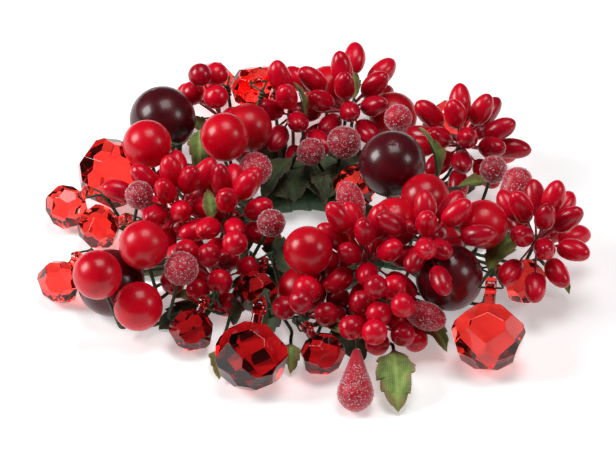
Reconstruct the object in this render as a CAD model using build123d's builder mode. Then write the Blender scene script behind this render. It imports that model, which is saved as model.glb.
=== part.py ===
"""Candle ring: berries, sugared berries, pips, leaves and faceted drops on covered wire
stems, bound round a small hoop that a taper candle stands in.

Millimetres, +Z up. The origin is the middle of the hoop, on the table.
"""

import math
import os

from build123d import *

# The ring as a whole
ring_reach = 80.0  # middle of the hoop to the outermost drops
ring_rise = 32.0  # table to the highest berries
quarter = 90  # degrees
blank_factor = 4  # a block is this many times the size that is cut from it

# The hoop and the tape wound round it
hoop_reach = 21.0
hoop_wire_width = 1.6
hoop_sides = 24
tape_radius = 3.6
tape_step = 0.55  # how far each lap stands over the next
tape_laps = 18
tape_tilt = 14  # degrees that the edge of a lap slants
tape_sides = 8
lap_cover_share = 1.3  # of the pitch, so that each lap covers part of the next
stand_flat = 0.4  # taken off the underside, where the hoop stands
hoop_rise = tape_radius - stand_flat

# Covered wire
wire_radius = 0.55
wire_sides = 4
thread_radius = 0.35
thread_sides = 3
trunk_radius = 1.25  # the stems of one pick, taped together
trunk_start = hoop_reach + hoop_wire_width + trunk_radius
trunk_reach = 28.0  # where a trunk ends and its stems part
knee_setback = 5.0  # a stem turns up this far inside the piece that it carries
knot_radius = 1.6
neck_bore = 4.0  # how far a wire goes into a teardrop's neck
bore_clearance = 0.05
bore_sides = 4

# Berries and sugared berries
berry_diameter = 14.2
dark_diameter = 19.4
sugar_diameter = 9.6
sugar_small_diameter = 8.0
capsule_diameter = 8.0
capsule_length = 13.0
teardrop_diameter = 10.4
teardrop_length = 22.0
teardrop_small_diameter = 8.8
teardrop_small_length = 16.5
flat_share = 0.975  # a flat lies this far out, so that its corners stand proud

# Pips on threads
pip_diameter = 6.2
pip_length = 9.6
pip_base_share = 0.84  # of the half length, where the thread goes in
pip_flat_share = 0.92
pip_round_diameter = 7.0
thread_length = 13.6

# Faceted drops
drop_diameter = 19.8
drop_small_diameter = 12.2
facet_share = 0.95
lug_reach_share = 0.71  # of the drop's diameter, ball to eye
lug_radius_share = 0.15
lug_width_share = 0.16
lug_root_share = 0.8  # of the lug's own width, where it leaves the ball
eye_radius_share = 0.062
bail_depth_share = 0.42
bail_radius = 0.5
bail_clearance = 0.3

# Leaves
leaf_width_share = 0.56  # of a leaf's length
leaf_thickness = 0.5
leaf_stub = 2.5  # straight stem before the blade
leaf_base_width = 1.2
leaf_droop_shares = (0.0, 0.07, 0.05, -0.08)
low_droop_shares = (0.0, 0.02, 0.02, -0.01)  # leaves under the stems lie flat
leaf_tooth_shares = (
    (0.14, 0.52),
    (0.28, 0.90),
    (0.31, 0.74),
    (0.48, 1.00),
    (0.51, 0.80),
    (0.70, 0.78),
    (0.73, 0.58),
)

# Tiers of flats: degrees above the level
berry_tiers = (-90, -60, -30, 0, 30, 60, 90)
bead_tiers = (-90, -48, 0, 48, 90)
pip_tiers = (-40, 5, 48, 90)
drop_tiers = (-90, -56, -20, 16, 52, 90)
teardrop_tiers = (90, 55, 20, -14)
knot_tiers = (-90, -35, 35, 90)
berry_sides = 10
bead_sides = 8
pip_sides = 6
drop_sides = 6
eye_sides = 8

# Which group of sub-parts each kind of berry belongs to
group_names = {
    "red": "red_berries", "dark": "dark_berry", "capsule": "capsules",
    "sugar_large": "sugared_berries", "sugar_small": "sugared_berries",
    "teardrop": "teardrops", "teardrop_small": "teardrops",
}

# Picks: the turn round the hoop where each pick's trunk is bound
trunk_turns = {
    "01": 30, "02": 75, "03": 105, "04": 135, "05": 165, "06": -165,
    "07": -135, "08": -105, "09": -75, "10": -50, "11": -25, "12": 5,
}

# A place is a turn in degrees, then shares of the ring's reach and rise. Knees are the
# places where a stem bends on its way out; a row without any gets one from a rule.
berry_shares = (
    ("red", "back", "02", (85, 0.87, 0.25), ((85, 0.77, 0.10),)),
    ("red", "back", "02", (66, 0.77, 0.24), ((66, 0.67, 0.10),)),
    ("red", "back", "03", (116, 0.50, 0.56), ()),
    ("red", "back", "04", (141, 0.39, 0.82), ()),
    ("red", "left", "05", (160, 0.62, 0.80), ()),
    ("red", "left", "06", (-146, 0.71, 0.78), ()),
    ("red", "left", "06", (-143, 0.94, 0.76), ((-141, 0.86, 0.10),)),
    ("red", "left", "07", (-137, 0.83, 0.41), ()),
    ("red", "front", "08", (-93, 0.41, 0.30), ()),
    ("red", "front", "09", (-90, 0.47, 0.85), ((-73, 0.42, 0.10),)),
    ("red", "right", "11", (-21, 0.51, 0.36), ()),
    ("red", "right", "11", (-37, 0.39, 0.74), ()),
    ("red", "right", "11", (-11, 0.43, 0.73), ()),
    ("red", "right", "11", (-22, 0.68, 0.75), ()),
    ("dark", "inner_right", "01", (18, 0.32, 0.78), ()),
    ("dark", "back_left", "04", (133, 0.78, 0.44), ()),
    ("dark", "left", "06", (-152, 0.80, 0.32), ((-152, 0.66, 0.10),)),
    ("dark", "front_right", "10", (-41, 0.67, 0.50), ()),
    ("sugar_small", "back", "01", (51, 0.52, 0.75), ()),
    ("sugar_small", "back", "02", (88, 0.30, 0.56), ()),
    ("sugar_large", "back", "02", (68, 0.35, 0.62), ()),
    ("sugar_large", "back", "04", (135, 0.27, 0.56), ()),
    ("sugar_small", "front", "05", (-176, 0.61, 0.69), ((-172, 0.66, 0.10),)),
    ("sugar_large", "front", "07", (-135, 0.64, 0.62), ((-136, 0.70, 0.10),)),
    ("sugar_small", "front", "07", (-118, 0.28, 0.75), ()),
    ("sugar_small", "back", "12", (-1, 0.54, 0.44), ()),
    ("sugar_small", "back", "12", (13, 0.69, 0.62), ()),
    ("capsule", "front", "10", (-46, 0.22, 0.81), ()),
    ("capsule", "front", "09", (-56, 0.75, 0.41), ((-62, 0.60, 0.40),)),
    ("teardrop", "front", "09", (-80, 0.97, 0.17), ((-74, 0.64, 0.30),)),
    ("teardrop_small", "back", "12", (4, 0.76, 0.66), ((-8, 0.60, 0.10), (-6.5, 0.68, 0.46))),
)

# Drops: name, pick, size, place, then the turn and rise from the ball to its eye
drop_shares = (
    ("01", "01", "small", (53, 0.86, 0.20), (233, 45), ()),
    ("02", "01", "small", (44, 0.24, 0.42), (52, 45), ()),
    ("03", "03", "small", (99, 0.93, 0.20), (279, 45), ()),
    ("04", "03", "small", (105.5, 0.76, 0.51), (285, 45), ((118, 0.54, 0.10),)),
    ("05", "03", "small", (111, 0.97, 0.25), (291, 45), ()),
    ("06", "05", "large", (158, 0.77, 0.335), (10, 35), ((148, 0.56, 0.10),)),
    ("07", "05", "small", (170, 0.89, 0.20), (350, 45), ()),
    ("08", "05", "small", (178, 0.76, 0.21), (358, 20), ()),
    ("09", "06", "small", (-161, 0.945, 0.205), (45, 35), ()),
    ("10", "07", "small", (-125, 0.725, 0.20), (55, 45), ()),
    ("11", "08", "small", (-112, 0.50, 0.38), (68, 45), ()),
    ("12", "08", "large", (-104, 0.84, 0.32), (76, 45), ()),
    ("13", "09", "small", (-86, 0.74, 0.20), (135, 45), ((-87, 0.58, 0.10),)),
    ("14", "10", "large", (-47.5, 0.95, 0.32), (85, 50), ((-32, 0.74, 0.10),)),
    ("15", "11", "small", (-21.5, 0.84, 0.21), (170, 20), ()),
)

# Sprays: name, pick, place of the knot
spray_shares = (
    ("back_right", "01", (38, 0.71, 0.38), ()),
    ("back_middle", "02", (79, 0.74, 0.25), ()),
    ("back", "03", (95, 0.67, 0.31), ()),
    ("back_left", "03", (115, 0.76, 0.25), ()),
    ("left", "05", (177, 0.47, 0.38), ()),
    ("inner_left", "06", (-167, 0.30, 0.44), ()),
    ("front_left", "07", (-136, 0.46, 0.25), ()),
    ("front_middle", "08", (-91, 0.54, 0.25), ((-100, 0.475, 0.10),)),
    ("front", "09", (-68, 0.63, 0.25), ()),
    ("front_right", "10", (-60, 0.44, 0.56), ()),
    ("inner_right", "10", (-43, 0.57, 0.81), ((-44, 0.45, 0.10),)),
    ("right", "12", (-15, 0.85, 0.50), ()),
)

# Pips of each spray: turn and rise of the thread, then shares of the thread's length
spray_thread_shares = {
    "left": (
        (150, 80, 1.0), (-50, 70, 1.15), (168, 47, 1.06), (-125, 26, 0.94), (-84, 37, 0.86),
        (30, 50, 1.0), (-36, 30, 0.82), (176, 21, 1.36), (-121, 59, 1.02),
    ),
    "inner_left": (
        (127, 78, 1.0), (-15, 68, 1.10), (-35, 39, 1.07), (-44, 10, 0.97), (-15, -13, 0.86),
        (-79, 26, 0.98), (-114, 26, 1.08), (-151, 2, 0.75), (-90, 61, 1.1),
    ),
    "front_left": ((-122, 72, 0.86), (25, 58, 0.54), (-82, 33, 0.74), (-127, 8, 0.62)),
    "back": (
        (150, 71, 0.95), (-105, 60, 0.93), (-150, 32, 0.68), (-80, 25, 0.83), (-110, 0, 0.90),
    ),
    "back_left": ((-105, 65, 0.90), (165, 40, 0.82), (-65, 30, 0.75)),
    "back_middle": (
        (171, 46, 1.05), (-139, 40, 1.0), (-115, 12, 0.88), (-100, 72, 0.9), (0, 50, 0.95),
        (40, 30, 1.15), (-85, 35, 1.0), (-45, 34, 1.0),
    ),
    "back_right": (
        (165, 45, 1.0), (-150, 80, 0.9), (-130, 40, 1.0), (-80, 45, 1.0), (-45, 25, 1.0),
        (-5, 0, 1.1), (-135, -10, 0.7), (-90, 12, 0.9), (-95, -30, 0.95),
    ),
    "right": (
        (175, 70, 0.95), (35, 65, 1.05), (-65, 65, 0.98), (-10, 45, 0.95), (-80, 26, 1.0),
        (-35, 10, 0.97), (-65, -10, 1.0), (-92, -12, 1.30), (-120, -5, 1.15), (-115, 40, 0.98),
    ),
    "front_right": (
        (175, 60, 1.30), (-105, 71, 1.1), (-50, 46, 0.97), (-131, 43, 0.86), (-135, 0, 0.90),
        (-95, 16, 0.72), (-40, -14, 0.90), (-105, -28, 0.88),
    ),
    "inner_right": ((-84, 66, 0.76), (90, 60, 0.70), (-108, 0, 0.68), (-60, 17, 0.70)),
    "front": ((-165, 66, 0.66), (-80, 50, 0.85), (-84, -6, 0.62), (-121, 28, 1.08), (9, -8, 0.57)),
    "front_middle": ((-145, 40, 0.7), (-40, 30, 0.67)),
}
round_sprays = ("front_left", "back_left", "front", "front_middle")

# Leaves: side, pick, base place, then the turn, rise and roll of the blade, and its length
leaf_length = 16.0
leaf_shares = (
    ("left", "06", (-160, 0.37, 0.55), (100, 50, 0), 0.60, ()),
    ("left", "05", (174, 0.56, 0.40), (175, 5, 0), 0.60, ()),
    ("front", "07", (-127, 0.56, 0.135), (147, 1, 0), 0.90, ()),
    ("front", "07", (-116.5, 0.725, 0.07), (-87, 2, 0), 0.80, ()),
    ("front", "08", (-95.7, 0.62, 0.085), (-90, -2, 0), 0.76, ((-103, 0.44, 0.08), (-96, 0.54, 0.08))),
    ("front", "09", (-76.5, 0.645, 0.22), (165, 5, 0), 0.75, ()),
    ("front", "09", (-66.5, 0.765, 0.17), (-87, -5, 0), 1.50, ()),
    ("front", "10", (-52, 0.66, 0.16), (-60, 0, 0), 0.90, ()),
    ("right", "11", (-29, 0.74, 0.40), (65, 5, 0), 1.20, ()),
    ("right", "12", (-12.4, 0.87, 0.19), (-54, -10, 0), 0.80, ()),
    ("right", "12", (16.4, 0.49, 0.53), (114, 51, 90), 1.00, ()),
    ("right", "12", (18, 0.57, 0.38), (10, 5, 0), 0.65, ()),
    ("back", "04", (122, 0.66, 0.20), (128, 18, 0), 0.70, ()),
    ("back", "04", (132, 0.585, 0.56), (-92, -13, 0), 1.05, ()),
    ("back", "02", (92, 0.60, 0.31), (100, 50, 90), 0.82, ()),
    ("back", "02", (77, 0.75, 0.38), (90, 24, 0), 0.60, ()),
    ("centre", "03", (100, 0.33, 0.44), (-126, -18, 0), 1.00, ()),
    ("centre", "02", (85, 0.32, 0.31), (-78, -6, 0), 0.85, ()),
    ("low", "01", (31, 0.46, 0.03), (38, 0, 0), 1.40, ()),
    ("low", "02", (75, 0.46, 0.03), (82, 0, 0), 1.25, ()),
    ("low", "03", (104, 0.46, 0.03), (101, 0, 0), 1.40, ()),
    ("low", "04", (135, 0.46, 0.03), (132, 0, 0), 1.30, ()),
    ("low", "05", (167, 0.46, 0.03), (176, 0, 0), 1.20, ()),
    ("low", "06", (-166, 0.46, 0.03), (-170, 0, 0), 1.20, ()),
    ("low", "07", (-136, 0.46, 0.03), (-139, 0, 0), 1.35, ()),
    ("low", "08", (-108, 0.46, 0.03), (-112, 0, 0), 1.20, ()),
    ("low", "09", (-76, 0.46, 0.03), (-72, 0, 0), 1.30, ()),
    ("low", "10", (-50, 0.46, 0.03), (-46, 0, 0), 1.30, ()),
    ("low", "11", (-25, 0.46, 0.03), (-34, 0, 0), 1.10, ()),
    ("low", "12", (5, 0.46, 0.03), (8, 0, 0), 1.45, ()),
)


def polar(turn, reach, rise):
    """The point at this turn round the ring, this far out and this high."""
    return Vector(reach, 0, rise).rotate(Axis.Z, turn)


def place(shares):
    """The point for a turn and shares of the ring's reach and rise."""
    turn, reach_share, rise_share = shares
    return polar(turn, ring_reach * reach_share, ring_rise * rise_share)


def aim(turn, rise):
    """The direction with this turn and this rise above the level."""
    return Vector(1, 0, 0).rotate(Axis.Y, -rise).rotate(Axis.Z, turn)


def cut_flats(blank_size, planes):
    """A block cut back to every plane in turn."""
    with BuildPart() as body:
        Box(blank_size, blank_size, blank_size)
        for plane in planes:
            split(bisect_by=plane, keep=Keep.BOTTOM)
    return body.part


def tier_planes(radius, half_length, tiers, sides, staggered=False):
    """Planes that touch an egg of this radius and half length, one tier after another."""
    planes = []
    for tier, rise in enumerate(tiers):
        count = 1 if abs(rise) == 90 else sides
        offset = 0.5 * (tier % 2) if staggered else 0
        level, upright = math.cos(math.radians(rise)), math.sin(math.radians(rise))
        touch = math.hypot(radius * level, half_length * upright)
        for step in range(count):
            normal = aim(360 / count * (step + offset), rise)
            planes.append(Plane(origin=normal * touch, z_dir=normal))
    return planes


def make_bead(diameter, length, tiers, sides):
    """A round or long bead on +Z with a blind hole for its wire, from below to the middle."""
    planes = tier_planes(diameter / 2 * flat_share, length / 2 * flat_share, tiers, sides)
    solid = cut_flats(blank_factor * length, planes)
    with BuildPart() as bead:
        add(solid)
        with BuildSketch(Plane.XY):
            RegularPolygon(wire_radius + bore_clearance, bore_sides, major_radius=False)
        extrude(amount=-length, mode=Mode.SUBTRACT)
    return bead.part


def make_teardrop(diameter, length):
    """A bulb on +Z with straight sides down to a narrow neck, bored for its wire."""
    radius = diameter / 2
    flat_radius = radius * flat_share
    neck = Plane(origin=(0, 0, radius - length), z_dir=(0, 0, -1))
    planes = tier_planes(flat_radius, flat_radius, teardrop_tiers, bead_sides)
    solid = cut_flats(blank_factor * length, [*planes, neck])
    with BuildPart() as bead:
        add(solid)
        with BuildSketch(Plane.XY.offset(radius - length)):
            RegularPolygon(wire_radius + bore_clearance, bore_sides, major_radius=False)
        extrude(amount=neck_bore, mode=Mode.SUBTRACT)
    return bead.part


def make_pip(diameter, length):
    """A solid pip on +Z with a flat base, where its thread ends."""
    radius, half_length = diameter / 2 * pip_flat_share, length / 2 * pip_flat_share
    base = Plane(origin=(0, 0, -length / 2 * pip_base_share), z_dir=(0, 0, -1))
    planes = tier_planes(radius, half_length, pip_tiers, pip_sides)
    return cut_flats(blank_factor * length, [*planes, base])


def make_drop(diameter):
    """A faceted ball with a moulded lug on +Z, whose eye runs along X."""
    facet_radius = diameter / 2 * facet_share
    planes = tier_planes(facet_radius, facet_radius, drop_tiers, drop_sides, staggered=True)
    ball = cut_flats(blank_factor * diameter, planes)
    lug_reach = diameter * lug_reach_share
    lug_radius = diameter * lug_radius_share
    with BuildPart() as drop:
        add(ball)
        with BuildSketch(Plane.YZ):
            with Locations((0, lug_reach)):
                RegularPolygon(lug_radius, eye_sides)
                Rectangle(
                    2 * lug_radius * lug_root_share,
                    lug_reach - facet_radius / 2,
                    align=(Align.CENTER, Align.MAX),
                )
        extrude(amount=diameter * lug_width_share / 2, both=True)
        with BuildSketch(Plane.YZ):
            with Locations((0, lug_reach)):
                RegularPolygon(diameter * eye_radius_share, eye_sides, major_radius=False)
        extrude(amount=diameter, both=True, mode=Mode.SUBTRACT)
    return drop.part


def make_leaf(length, droop_shares):
    """A toothed blade along +X, bent to these shares of its length, with its stub end at 0."""
    half_width = length * leaf_width_share / 2
    step = length / (len(droop_shares) - 1)
    top = [(step * i, length * share) for i, share in enumerate(droop_shares)]
    under = [(x, z - leaf_thickness) for x, z in reversed(top)]
    right = [(length * x, -half_width * y) for x, y in leaf_tooth_shares]
    left = [(x, -y) for x, y in reversed(right)]
    base = leaf_base_width / 2
    with BuildPart() as leaf:
        with BuildSketch(Plane.XZ):
            with BuildLine():
                Polyline(*top, *under, close=True)
            make_face()
        extrude(amount=half_width * 2, both=True)
        with BuildSketch(Plane.XY):
            with BuildLine():
                Polyline((0, -base), *right, (length, 0), *left, (0, base), close=True)
            make_face()
        extrude(amount=length, both=True, mode=Mode.INTERSECT)
    return leaf.part


def wire_run(start, end, radius=wire_radius, sides=wire_sides, free_end=False):
    """A straight run of covered wire, which passes its ends to join the next run."""
    way = (end - start).normalized()
    first = start - way * radius
    last = end if free_end else end + way * radius
    with BuildPart() as run:
        with BuildSketch(Plane(origin=first, z_dir=way)):
            RegularPolygon(radius, sides)
        extrude(amount=(last - first).length)
    return run.part


def make_trunk(turn):
    """The stems of one pick, taped together, from the hoop's wire outward."""
    start = polar(turn, trunk_start, hoop_rise)
    end = polar(turn, trunk_reach, hoop_rise)
    return wire_run(start, end, radius=trunk_radius)


def make_knot():
    """The bead of tape where the threads of a spray part."""
    planes = tier_planes(knot_radius, knot_radius, knot_tiers, wire_sides)
    return cut_flats(blank_factor * knot_radius, planes)


def route(pick, target, knees=()):
    """The points of a stem from the trunk's end to a target, which comes last."""
    trunk_end = polar(trunk_turns[pick], trunk_reach, hoop_rise)
    reach = math.hypot(target.X, target.Y)
    if knees:
        bends = [place(knee) for knee in knees]
    elif reach > trunk_reach + knee_setback:
        turn = math.degrees(math.atan2(target.Y, target.X))
        bends = [polar(turn, max(reach - knee_setback, trunk_reach + wire_radius), hoop_rise)]
    else:
        bends = []
    return [trunk_end, *bends, target]


def run_stem(points, stop=0.0):
    """A stem of covered wire through these points, which stops short of its target."""
    way = (points[-1] - points[-2]).normalized()
    path = [*points[:-1], points[-1] - way * stop]
    with BuildPart() as stem:
        with BuildLine():
            Polyline(*path)
        with BuildSketch(Plane(origin=path[0], z_dir=path[1] - path[0])):
            RegularPolygon(wire_radius, wire_sides)
        sweep(transition=Transition.RIGHT)
    return stem.part


def seat(points):
    """Where a piece sits at the end of its stem: its middle, and +Z along the last run."""
    return Plane(origin=points[-1], z_dir=points[-1] - points[-2]).location


def bail_runs(centre, diameter, eye_turn, eye_rise):
    """The wire bail through a drop's eye, and the point where its legs meet."""
    eye = centre + aim(eye_turn, eye_rise) * diameter * lug_reach_share
    depth = diameter * bail_depth_share
    beside_lug = diameter * lug_width_share / 2 + bail_clearance + bail_radius
    half_pin = beside_lug / (1 - diameter * lug_radius_share / depth)
    side = aim(eye_turn + quarter, 0) * half_pin
    meet = eye + aim(eye_turn, 0) * depth
    corners = (eye - side, eye + side)
    runs = [wire_run(*corners, radius=bail_radius)]
    runs += [wire_run(corner, meet, radius=bail_radius) for corner in corners]
    return runs, meet


def make_hoop_wire():
    """The wire ring inside the tape, made of straight sides."""
    half = hoop_wire_width / 2
    with BuildPart() as ring:
        with BuildSketch(Plane.XY.offset(hoop_rise - half)):
            RegularPolygon(hoop_reach + half, hoop_sides)
            RegularPolygon(hoop_reach - half, hoop_sides, mode=Mode.SUBTRACT)
        extrude(amount=hoop_wire_width)
    return ring.part


def make_tape_lap():
    """One lap of tape along +Z: a slightly tapered barrel with slanting ends."""
    length = 2 * math.pi * hoop_reach / tape_laps * lap_cover_share
    slope = math.degrees(math.atan(tape_step / length))
    middle = tape_radius - tape_step / 2
    sides = []
    for step in range(tape_sides):
        turn = 360 / tape_sides * step
        sides.append(Plane(origin=aim(turn, 0) * middle, z_dir=aim(turn, slope)))
    slant = Vector(0, 0, 1).rotate(Axis.Y, tape_tilt)
    ends = [Plane(origin=(0, 0, end * length / 2), z_dir=slant * end) for end in (1, -1)]
    return cut_flats(blank_factor * length, [*sides, *ends])


def make_tape_wrap(hoop_wire, trunks):
    """The tape wound round the hoop, lap over lap, cut flat where it stands."""
    lap = make_tape_lap()
    laps = []
    for step in range(tape_laps):
        turn = 360 / tape_laps * step
        centre = polar(turn, hoop_reach, hoop_rise)
        frame = Plane(origin=centre, x_dir=aim(turn, 0), z_dir=aim(turn, 0).rotate(Axis.Z, quarter))
        laps.append(lap.moved(frame.location))
    with BuildPart() as wrap:
        add(laps)
        split(bisect_by=Plane.XY, keep=Keep.TOP)
        add(hoop_wire, mode=Mode.SUBTRACT)
        add(trunks, mode=Mode.SUBTRACT)
    return wrap.part


def fused(label, solids):
    """One sub-part from solids that join or stand apart."""
    with BuildPart() as group:
        add(solids)
    group.part.label = label
    export_step(group.part, f"parts/{label}.step")
    return group.part


os.makedirs("parts", exist_ok=True)

beads = {
    "red": make_bead(berry_diameter, berry_diameter, berry_tiers, berry_sides),
    "dark": make_bead(dark_diameter, dark_diameter, berry_tiers, berry_sides),
    "sugar_large": make_bead(sugar_diameter, sugar_diameter, bead_tiers, bead_sides),
    "sugar_small": make_bead(sugar_small_diameter, sugar_small_diameter, bead_tiers, bead_sides),
    "capsule": make_bead(capsule_diameter, capsule_length, bead_tiers, bead_sides),
    "teardrop": make_teardrop(teardrop_diameter, teardrop_length),
    "teardrop_small": make_teardrop(teardrop_small_diameter, teardrop_small_length),
}
stem_stops = {
    "teardrop": teardrop_length - teardrop_diameter / 2 - neck_bore,
    "teardrop_small": teardrop_small_length - teardrop_small_diameter / 2 - neck_bore,
}
pip = make_pip(pip_diameter, pip_length)
round_pip = make_pip(pip_round_diameter, pip_round_diameter)
drops = {"large": make_drop(drop_diameter), "small": make_drop(drop_small_diameter)}
drop_sizes = {"large": drop_diameter, "small": drop_small_diameter}
knot = make_knot()

stems = {pick: [make_trunk(turn)] for pick, turn in trunk_turns.items()}
trunks = [runs[0] for runs in stems.values()]
groups = {}

for kind, side, pick, shares, knees in berry_shares:
    points = route(pick, place(shares), knees)
    stems[pick].append(run_stem(points, stem_stops.get(kind, 0.0)))
    label = f"{group_names[kind]}_{side}"
    groups.setdefault(label, []).append(beads[kind].moved(seat(points)))

for name, pick, size, shares, (eye_turn, eye_rise), knees in drop_shares:
    centre = place(shares)
    runs, meet = bail_runs(centre, drop_sizes[size], eye_turn, eye_rise)
    stems[pick] += [*runs, run_stem(route(pick, meet, knees))]
    pin_way = aim(eye_turn + quarter, 0)
    frame = Plane(origin=centre, x_dir=pin_way, z_dir=aim(eye_turn, eye_rise))
    fused(f"drop_{name}", [drops[size].moved(frame.location)])

for name, pick, shares, knees in spray_shares:
    centre = place(shares)
    stems[pick] += [run_stem(route(pick, centre, knees)), knot.moved(Location(centre))]
    rounded = name in round_sprays
    length = pip_round_diameter if rounded else pip_length
    pips = []
    for turn, rise, thread_share in spray_thread_shares[name]:
        way = aim(turn, rise)
        middle = centre + way * thread_length * thread_share
        base = middle - way * length / 2 * pip_base_share
        stems[pick].append(wire_run(centre, base, thread_radius, thread_sides, free_end=True))
        pips.append((round_pip if rounded else pip).moved(Plane(middle, z_dir=way).location))
    fused(f"pips_{name}", pips)

for side, pick, shares, (turn, rise, roll), length_share, knees in leaf_shares:
    base = place(shares)
    way = aim(turn, rise)
    stems[pick].append(run_stem([*route(pick, base - way * leaf_stub, knees), base]))
    up = way.cross(aim(turn + quarter, 0)).rotate(Axis((0, 0, 0), way), roll)
    frame = Plane(origin=base, x_dir=way, z_dir=up)
    droop_shares = low_droop_shares if side == "low" else leaf_droop_shares
    blade = make_leaf(leaf_length * length_share, droop_shares)
    groups.setdefault(f"leaves_{side}", []).append(blade.moved(frame.location))

for label, solids in groups.items():
    fused(label, solids)
for pick, runs in stems.items():
    fused(f"pick_stems_{pick}", runs)

hoop_wire = fused("hoop_wire", [make_hoop_wire()])
fused("tape_wrap", [make_tape_wrap(hoop_wire, trunks)])
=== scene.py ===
"""Looks of a candle ring: lacquered and sugared berries, pips on threads, cloth leaves and
faceted acrylic drops on covered wire, bound round a taped hoop.

Shapes are worked out in millimetres in the frame of the CAD model and made in metres.
"""

import logging
import math
from dataclasses import dataclass, field
from enum import Enum
from itertools import combinations
from typing import Callable, Iterable, Sequence

import bmesh
import bpy
import numpy as np
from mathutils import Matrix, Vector


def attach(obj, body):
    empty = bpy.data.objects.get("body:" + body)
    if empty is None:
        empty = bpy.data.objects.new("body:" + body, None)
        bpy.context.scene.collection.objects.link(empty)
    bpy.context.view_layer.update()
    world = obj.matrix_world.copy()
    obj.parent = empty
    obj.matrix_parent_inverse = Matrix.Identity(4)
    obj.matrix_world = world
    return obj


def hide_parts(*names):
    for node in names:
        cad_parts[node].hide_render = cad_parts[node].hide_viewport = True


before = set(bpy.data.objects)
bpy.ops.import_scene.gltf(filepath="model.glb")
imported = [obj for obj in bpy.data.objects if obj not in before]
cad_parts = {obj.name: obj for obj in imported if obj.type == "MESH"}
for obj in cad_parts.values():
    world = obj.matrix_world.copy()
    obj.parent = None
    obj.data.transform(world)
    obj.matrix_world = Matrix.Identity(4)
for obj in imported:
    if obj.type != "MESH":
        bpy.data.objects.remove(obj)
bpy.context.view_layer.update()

MM = 0.001
RING_BODY = "ring"
log = logging.getLogger("candle_ring")

# Places of the pieces, the same as the CAD model's. A place is a turn round the ring in
# degrees, then shares of the ring's reach and rise.
Place = tuple[float, float, float]

TRUNK_TURNS = {
    "01": 30, "02": 75, "03": 105, "04": 135, "05": 165, "06": -165,
    "07": -135, "08": -105, "09": -75, "10": -50, "11": -25, "12": 5,
}

BEAD_ROWS = (
    ("red", "back", "02", (85, 0.87, 0.25), ((85, 0.77, 0.10),)),
    ("red", "back", "02", (66, 0.77, 0.24), ((66, 0.67, 0.10),)),
    ("red", "back", "03", (116, 0.50, 0.56), ()),
    ("red", "back", "04", (141, 0.39, 0.82), ()),
    ("red", "left", "05", (160, 0.62, 0.80), ()),
    ("red", "left", "06", (-146, 0.71, 0.78), ()),
    ("red", "left", "06", (-143, 0.94, 0.76), ((-141, 0.86, 0.10),)),
    ("red", "left", "07", (-137, 0.83, 0.41), ()),
    ("red", "front", "08", (-93, 0.41, 0.30), ()),
    ("red", "front", "09", (-90, 0.47, 0.85), ((-73, 0.42, 0.10),)),
    ("red", "right", "11", (-21, 0.51, 0.36), ()),
    ("red", "right", "11", (-37, 0.39, 0.74), ()),
    ("red", "right", "11", (-11, 0.43, 0.73), ()),
    ("red", "right", "11", (-22, 0.68, 0.75), ()),
    ("dark", "inner_right", "01", (18, 0.32, 0.78), ()),
    ("dark", "back_left", "04", (133, 0.78, 0.44), ()),
    ("dark", "left", "06", (-152, 0.80, 0.32), ((-152, 0.66, 0.10),)),
    ("dark", "front_right", "10", (-41, 0.67, 0.50), ()),
    ("sugar_small", "back", "01", (51, 0.52, 0.75), ()),
    ("sugar_small", "back", "02", (88, 0.30, 0.56), ()),
    ("sugar_large", "back", "02", (68, 0.35, 0.62), ()),
    ("sugar_large", "back", "04", (135, 0.27, 0.56), ()),
    ("sugar_small", "front", "05", (-176, 0.61, 0.69), ((-172, 0.66, 0.10),)),
    ("sugar_large", "front", "07", (-135, 0.64, 0.62), ((-136, 0.70, 0.10),)),
    ("sugar_small", "front", "07", (-118, 0.28, 0.75), ()),
    ("sugar_small", "back", "12", (-1, 0.54, 0.44), ()),
    ("sugar_small", "back", "12", (13, 0.69, 0.62), ()),
    ("capsule", "front", "10", (-46, 0.22, 0.81), ()),
    ("capsule", "front", "09", (-56, 0.75, 0.41), ((-62, 0.60, 0.40),)),
    ("teardrop", "front", "09", (-80, 0.97, 0.17), ((-74, 0.64, 0.30),)),
    ("teardrop_small", "back", "12", (4, 0.76, 0.66), ((-8, 0.60, 0.10), (-6.5, 0.68, 0.46))),
)

DROP_ROWS = (
    ("01", "01", "small", (53, 0.86, 0.20), (233, 45), ()),
    ("02", "01", "small", (44, 0.24, 0.42), (52, 45), ()),
    ("03", "03", "small", (99, 0.93, 0.20), (279, 45), ()),
    ("04", "03", "small", (105.5, 0.76, 0.51), (285, 45), ((118, 0.54, 0.10),)),
    ("05", "03", "small", (111, 0.97, 0.25), (291, 45), ()),
    ("06", "05", "large", (158, 0.77, 0.335), (10, 35), ((148, 0.56, 0.10),)),
    ("07", "05", "small", (170, 0.89, 0.20), (350, 45), ()),
    ("08", "05", "small", (178, 0.76, 0.21), (358, 20), ()),
    ("09", "06", "small", (-161, 0.945, 0.205), (45, 35), ()),
    ("10", "07", "small", (-125, 0.725, 0.20), (55, 45), ()),
    ("11", "08", "small", (-112, 0.50, 0.38), (68, 45), ()),
    ("12", "08", "large", (-104, 0.84, 0.32), (76, 45), ()),
    ("13", "09", "small", (-86, 0.74, 0.20), (135, 45), ((-87, 0.58, 0.10),)),
    ("14", "10", "large", (-47.5, 0.95, 0.32), (85, 50), ((-32, 0.74, 0.10),)),
    ("15", "11", "small", (-21.5, 0.84, 0.21), (170, 20), ()),
)

WINE_DROPS = ("10", "11", "12", "13")

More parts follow.
